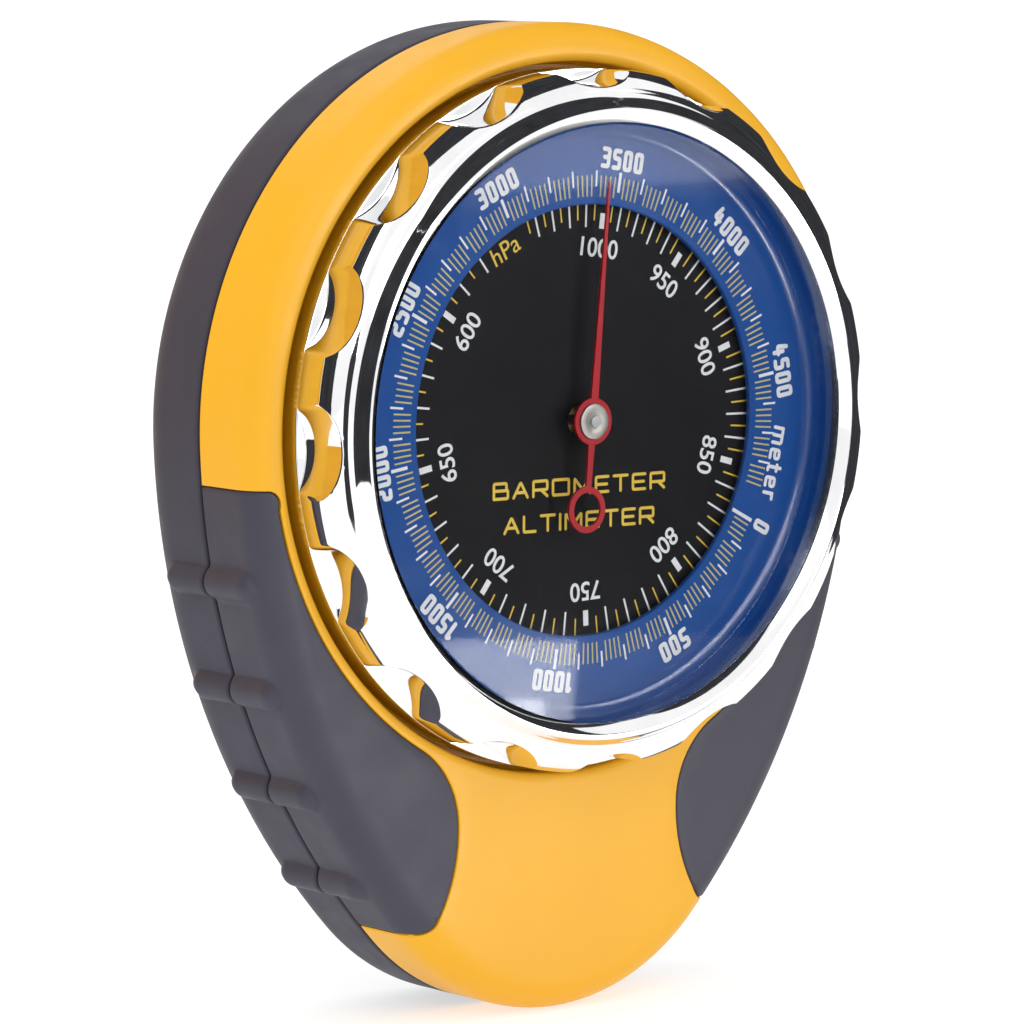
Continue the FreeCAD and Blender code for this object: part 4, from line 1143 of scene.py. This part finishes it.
def figures(text, size, bold=0.0):
    """Outline figures of the built-in sans as triangles about their own middle."""
    curve = bpy.data.curves.new("figures", "FONT")
    curve.body = text
    curve.size = 1.0
    curve.offset = bold
    curve.resolution_u = 6
    obj = bpy.data.objects.new("figures", curve)
    mesh = bpy.data.meshes.new_from_object(obj)
    xs = [v.co.x for v in mesh.vertices]
    ys = [v.co.y for v in mesh.vertices]
    scale = size / (max(ys) - min(ys))
    mid_x, mid_y = (max(xs) + min(xs)) / 2, (max(ys) + min(ys)) / 2
    points = [((v.co.x - mid_x) * scale, (v.co.y - mid_y) * scale) for v in mesh.vertices]
    mesh.calc_loop_triangles()
    pieces = [[points[k] for k in triangle.vertices] for triangle in mesh.loop_triangles]
    bpy.data.objects.remove(obj)
    bpy.data.meshes.remove(mesh)
    bpy.data.curves.remove(curve)
    return pieces


def printed(name, groups, base, body, material):
    shape = Shape()
    for pieces in groups:
        extrude_plan(shape, pieces, base - INK / 2, INK)
    return make_piece(name, shape.verts, shape.faces, body, material, weld=1e-7, sharp=20.0)


def standard_height(pressure):
    """Height in metres at a pressure in hPa in the standard atmosphere."""
    return 44330.77 * (1 - (pressure / 1013.25) ** 0.190263)


def pressure_angle(pressure):
    return 7.4 + 0.0722 * (standard_height(pressure) - standard_height(1000.0))


def build_dial_print():
    unit = SCALE_UNIT
    white, golden = [], []
    for pressure in range(580, 1046, 5):
        angle = pressure_angle(pressure)
        if pressure % 50 == 0:
            white.append([radial_mark(angle, 0.962 * unit, 1.04 * unit, 0.5)])
        elif pressure % 10 == 0:
            white.append([radial_mark(angle, 0.965 * unit, 1.12 * unit, 0.17)])
        else:
            golden.append([radial_mark(angle, 1.0 * unit, 1.12 * unit, 0.13)])
    for pressure in range(600, 1001, 50):
        size = 0.097 * unit
        text = placed(figures(str(pressure), size, 0.012), 0.865 * unit, pressure_angle(pressure))
        white.append(text)
    golden.append(placed(figures("hPa", 0.093 * unit), 0.995 * unit, -29.5))
    for text, width, height in (("BAROMETER", 1.12, -0.33), ("ALTIMETER", 0.98, -0.504)):
        letters = write(WIDE, text, 0.0755 * unit, 0.24, 0.42, 0.12, width * unit)
        golden.append(shifted(letters, 0.0, height * unit))
    printed("dial_marks_white", white, DIAL_FACE, "case", white_ink)
    printed("dial_marks_yellow", golden, DIAL_FACE, "case", yellow_ink)


def build_ring_print():
    unit = SCALE_UNIT
    zero = 9.3 + 36.0 * 3
    white, golden = [], []
    for tick in range(0, 4900 // 20):
        metres = 20 * tick
        angle = zero + metres * 0.072
        if metres == 0:
            white.append([radial_mark(angle, 1.09 * unit, 1.235 * unit, 0.3)])
        elif metres % 500 == 0:
            white.append([radial_mark(angle, 1.15 * unit, 1.25 * unit, 0.26)])
        elif metres % 100 == 0:
            white.append([radial_mark(angle, 1.17 * unit, 1.25 * unit, 0.17)])
        else:
            golden.append([radial_mark(angle, 1.12 * unit, 1.225 * unit, 0.13)])
    for metres in range(0, 4501, 500):
        letters = write(BLOCK, str(metres), 0.085 * unit, 0.36, 0.42, 0.12)
        white.append(placed(letters, 1.312 * unit, zero + metres * 0.072))
    letters = write(SMALL, "meter", 0.084 * unit, 0.29, 0.42, 0.15, 0.385 * unit)
    white.append(placed(letters, 1.285 * unit, 102.6))
    printed("ring_marks_white", white, RING_FACE, "bezel", white_ink)
    printed("ring_marks_yellow", golden, RING_FACE, "bezel", pale_ink)


# ---------------------------------------------------------------- pointer

def build_pointer():
    lean = math.radians(POINTER_ANGLE)

    def along(distance, offset=0.0):
        return (distance * math.sin(lean) + offset * math.cos(lean),
                distance * math.cos(lean) - offset * math.sin(lean))

    loop_radius, loop_hole = 1.83, 1.33
    tail_end = -POINTER_TAIL + loop_hole + 0.2
    pieces = [
        [along(0.0, -0.38), along(POINTER_LENGTH - 1.0, -0.1), along(POINTER_LENGTH, 0.0),
         along(POINTER_LENGTH - 1.0, 0.1), along(0.0, 0.38)],
        [along(0.0, -0.34), along(tail_end, -0.24), along(tail_end, 0.24), along(0.0, 0.34)],
    ]
    x, z = along(-POINTER_TAIL)
    loop_out = circle_loop(loop_radius, 64, x, z)
    loop_in = circle_loop(loop_hole, 64, x, z)
    pieces.append(circle_loop(POINTER_HUB, 64))
    for k in range(64):
        after = (k + 1) % 64
        pieces.append([loop_in[k], loop_in[after], loop_out[after], loop_out[k]])
    shape = Shape()
    sheet = 0.22
    extrude_plan(shape, pieces, POINTER_BACK + POINTER_THICK - sheet, sheet)
    hand = make_piece("red_hand", shape.verts, shape.faces, "needle", red,
                      ["pointer"])
    bevel = hand.modifiers.new("edge", "BEVEL")
    bevel.width = 0.06 * MM
    bevel.segments = 2
    bevel.limit_method = "ANGLE"
    bevel.angle_limit = math.radians(40)
    cap = Shape()
    base = POINTER_BACK + POINTER_THICK
    cap.rings([(ARBOR_RADIUS, base), (CAP_RADIUS, base), (CAP_RADIUS, CAP_TOP - 0.12),
               (CAP_RADIUS - 0.04, CAP_TOP - 0.04), (CAP_RADIUS - 0.12, CAP_TOP),
               (ARBOR_RADIUS + 0.35, CAP_TOP), (ARBOR_RADIUS + 0.25, CAP_TOP - 0.05),
               (ARBOR_RADIUS, CAP_TOP - 0.05)], 96, closed=True)
    make_piece("hand_cap", cap.verts, cap.faces, "needle", nickel, ["pointer_cap"])


# ---------------------------------------------------------------- build everything

build_front_shell()
build_grip("left_grip", -1, "grip_left")
build_grip("right_grip", 1, "grip_right")
build_back_cover()
build_bezel()
build_crystal()
build_altitude_ring()
build_dial()
build_dial_print()
build_ring_print()
build_pointer()

finishes = {
    seal: ("seam_gasket", "crystal_gasket"),
    steel: ("case_screws", "housing_screws", "base_screws", "sector_arbor", "rocker",
            "capsule_stud", "pointer_arbor"),
    spring_steel: ("mainspring", "hairspring", "snap_wire"),
    black_plastic: ("breather", "movement_housing"),
    brass: ("base_plate", "pillars", "trimmer_screw", "capsule_post", "rocker_bracket",
            "upper_plate", "gear_bridge", "bridge_posts", "sector_gear", "pinion"),
    capsule_metal: ("capsule_rear", "capsule_front"),
}
for material, names in finishes.items():
    for name in names:
        set_material(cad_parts[name], material)


# ---------------------------------------------------------------- camera, light, floor

def build_camera():
    """Camera to the left of the dial's axis and a little above it."""
    azimuth, elevation, roll = (math.radians(a) for a in (CAMERA_AZIMUTH, CAMERA_ELEVATION,
                                                          CAMERA_ROLL))
    unit = SCALE_UNIT * MM
    distance = CAMERA_DISTANCE * unit
    side_shift, up_shift = CAMERA_SIDE_SHIFT * unit, CAMERA_UP_SHIFT * unit
    away = Vector((-math.sin(azimuth) * math.cos(elevation),
                   -math.cos(azimuth) * math.cos(elevation), math.sin(elevation)))
    right = (-away).cross(Vector((0, 0, 1))).normalized()
    up = right.cross(-away)
    turned_right = right * math.cos(roll) + up * math.sin(roll)
    turned_up = up * math.cos(roll) - right * math.sin(roll)
    place = away * distance - turned_right * side_shift - turned_up * up_shift
    place += Vector((0, -DIAL_FACE * MM, 0))
    data = bpy.data.cameras.new("camera")
    data.sensor_width = SENSOR_WIDTH
    data.lens = CAMERA_FOCAL * SENSOR_WIDTH
    data.clip_start, data.clip_end = 0.01, 20.0
    camera = add_object("camera", data)
    columns = (turned_right, turned_up, away)
    camera.matrix_world = Matrix((
        (*[c.x for c in columns], place.x), (*[c.y for c in columns], place.y),
        (*[c.z for c in columns], place.z), (0, 0, 0, 1)))
    bpy.context.scene.camera = camera


def aim(obj, place, target):
    obj.location = place
    direction = Vector(target) - Vector(place)
    obj.rotation_euler = direction.to_track_quat("-Z", "Y").to_euler()


def add_softbox(name, place, target, width, height, power):
    data = bpy.data.lights.new(name, "AREA")
    data.shape = "RECTANGLE"
    data.size, data.size_y, data.energy = width, height, power
    aim(add_object(name, data), place, target)


def add_screen(name, radius, sides, low, high, colour, painted_highlight_glow=0.0, reflection_mottle=0.5):
    """Curved sheet round the dial that only mirrors see: its colour is a painted reflection in the
    chrome, and its glow a painted highlight that lights nothing.

    sides are directions about the dial's axis, degrees to the right of straight ahead;
    low and high are the screen's edges in degrees above the dial's centre.
    """
    middle = Vector((0.0, -0.017, 0.0))
    verts, faces = [], []
    columns = 24
    rows = 8
    for k in range(columns + 1):
        side = math.radians(sides[0] + (sides[1] - sides[0]) * k / columns)
        for step in range(rows + 1):
            rise = math.radians(low + (high - low) * step / rows)
            verts.append(middle + radius * Vector((math.sin(side) * math.cos(rise),
                                                   -math.cos(side) * math.cos(rise), math.sin(rise))))
    for k in range(columns):
        for step in range(rows):
            corner = k * (rows + 1) + step
            faces.append((corner, corner + 1, corner + rows + 2, corner + rows + 1))
    mesh = bpy.data.meshes.new(name)
    mesh.from_pydata(verts, [], faces)
    obj = add_object(name, mesh)
    material, tree, shader = new_material(name, colour, 1.0)
    # painted speckle in the mirrored image: the sheet's colour varies in patches
    vary_colour(tree, shader, colour, 60.0, reflection_mottle, stretch=(1.0, 1.0, 0.4))
    # emission seen only in mirrors: a painted highlight, not a lamp
    shader.inputs["Emission Color"].default_value = (1.0, 1.0, 1.0, 1.0)
    shader.inputs["Emission Strength"].default_value = painted_highlight_glow
    set_material(obj, material)
    obj.visible_camera = False
    obj.visible_diffuse = False
    obj.visible_shadow = False
    obj.visible_transmission = False


def build_stage():
    mesh = bpy.data.meshes.new("floor")
    reach = 6.0
    level = (FOOT_BOTTOM - 0.02) * MM
    mesh.from_pydata([(-reach, -reach, level), (reach, -reach, level), (reach, reach, level),
                      (-reach, reach, level)], [], [(0, 1, 2, 3)])
    floor = add_object("floor", mesh)
    material, tree, shader = new_material("floor_paper", (0.5, 0.5, 0.5), 0.9)
    vary_colour(tree, shader, (0.5, 0.5, 0.5), 4.0, 0.01)
    shader.inputs["Emission Color"].default_value = (1.0, 1.0, 1.0, 1.0)
    shader.inputs["Emission Strength"].default_value = 0.6
    set_material(floor, material)
    world = bpy.data.worlds.new("studio")
    world.use_nodes = True
    background = world.node_tree.nodes["Background"]
    background.inputs["Color"].default_value = (1.0, 1.0, 1.0, 1.0)
    background.inputs["Strength"].default_value = 1.0
    bpy.context.scene.world = world
    middle = (0.0, -0.01, -0.005)
    add_softbox("key", (-0.45, -0.55, 0.55), middle, 0.5, 0.5, 1.0)
    add_softbox("overhead", (-0.15, 0.05, 0.55), middle, 0.5, 0.4, 0.7)
    # dark sheets that paint dark reflections into the chrome, then an orange one that paints an orange
    # reflection into the flutes, then two glowing cards that paint highlights into it
    painted_dark_reflection, painted_orange_reflection, painted_highlight_colour = (0.016, 0.017, 0.021), (0.72, 0.34, 0.015), (0.8, 0.8, 0.8)
    for part, sides, lowest, highest in (
            ("front", (-11.0, 48.0), -15.5, 6.6), ("side", (48.0, 140.0), -15.5, 33.0),
            ("high", (78.0, 150.0), 33.0, 54.0), ("top", (-180.0, 180.0), 54.0, 88.0),
            ("left", (-110.0, -48.0), -15.5, 54.0)):
        # painted dark reflections: these sheets darken only what the chrome and gloss mirror
        add_screen("screen_" + part, 0.17, sides, lowest, highest, painted_dark_reflection)
    # painted orange reflection in the flutes, standing in for the yellow casing's image
    add_screen("painted_orange_reflection_sheet", 0.17, (-170.0, -112.0), -12.0, 54.0, painted_orange_reflection, reflection_mottle=0.05)
    # painted highlights: glowing cards that only mirrors see
    add_screen("painted_highlight_high", 0.18, (-11.0, 48.0), 7.0, 26.0, painted_highlight_colour, 6.0)
    add_screen("painted_highlight_low", 0.11, (0.0, 36.0), -25.0, -19.0, painted_highlight_colour, 16.0)
    bpy.context.scene.view_settings.view_transform = "Standard"


build_camera()
build_stage()
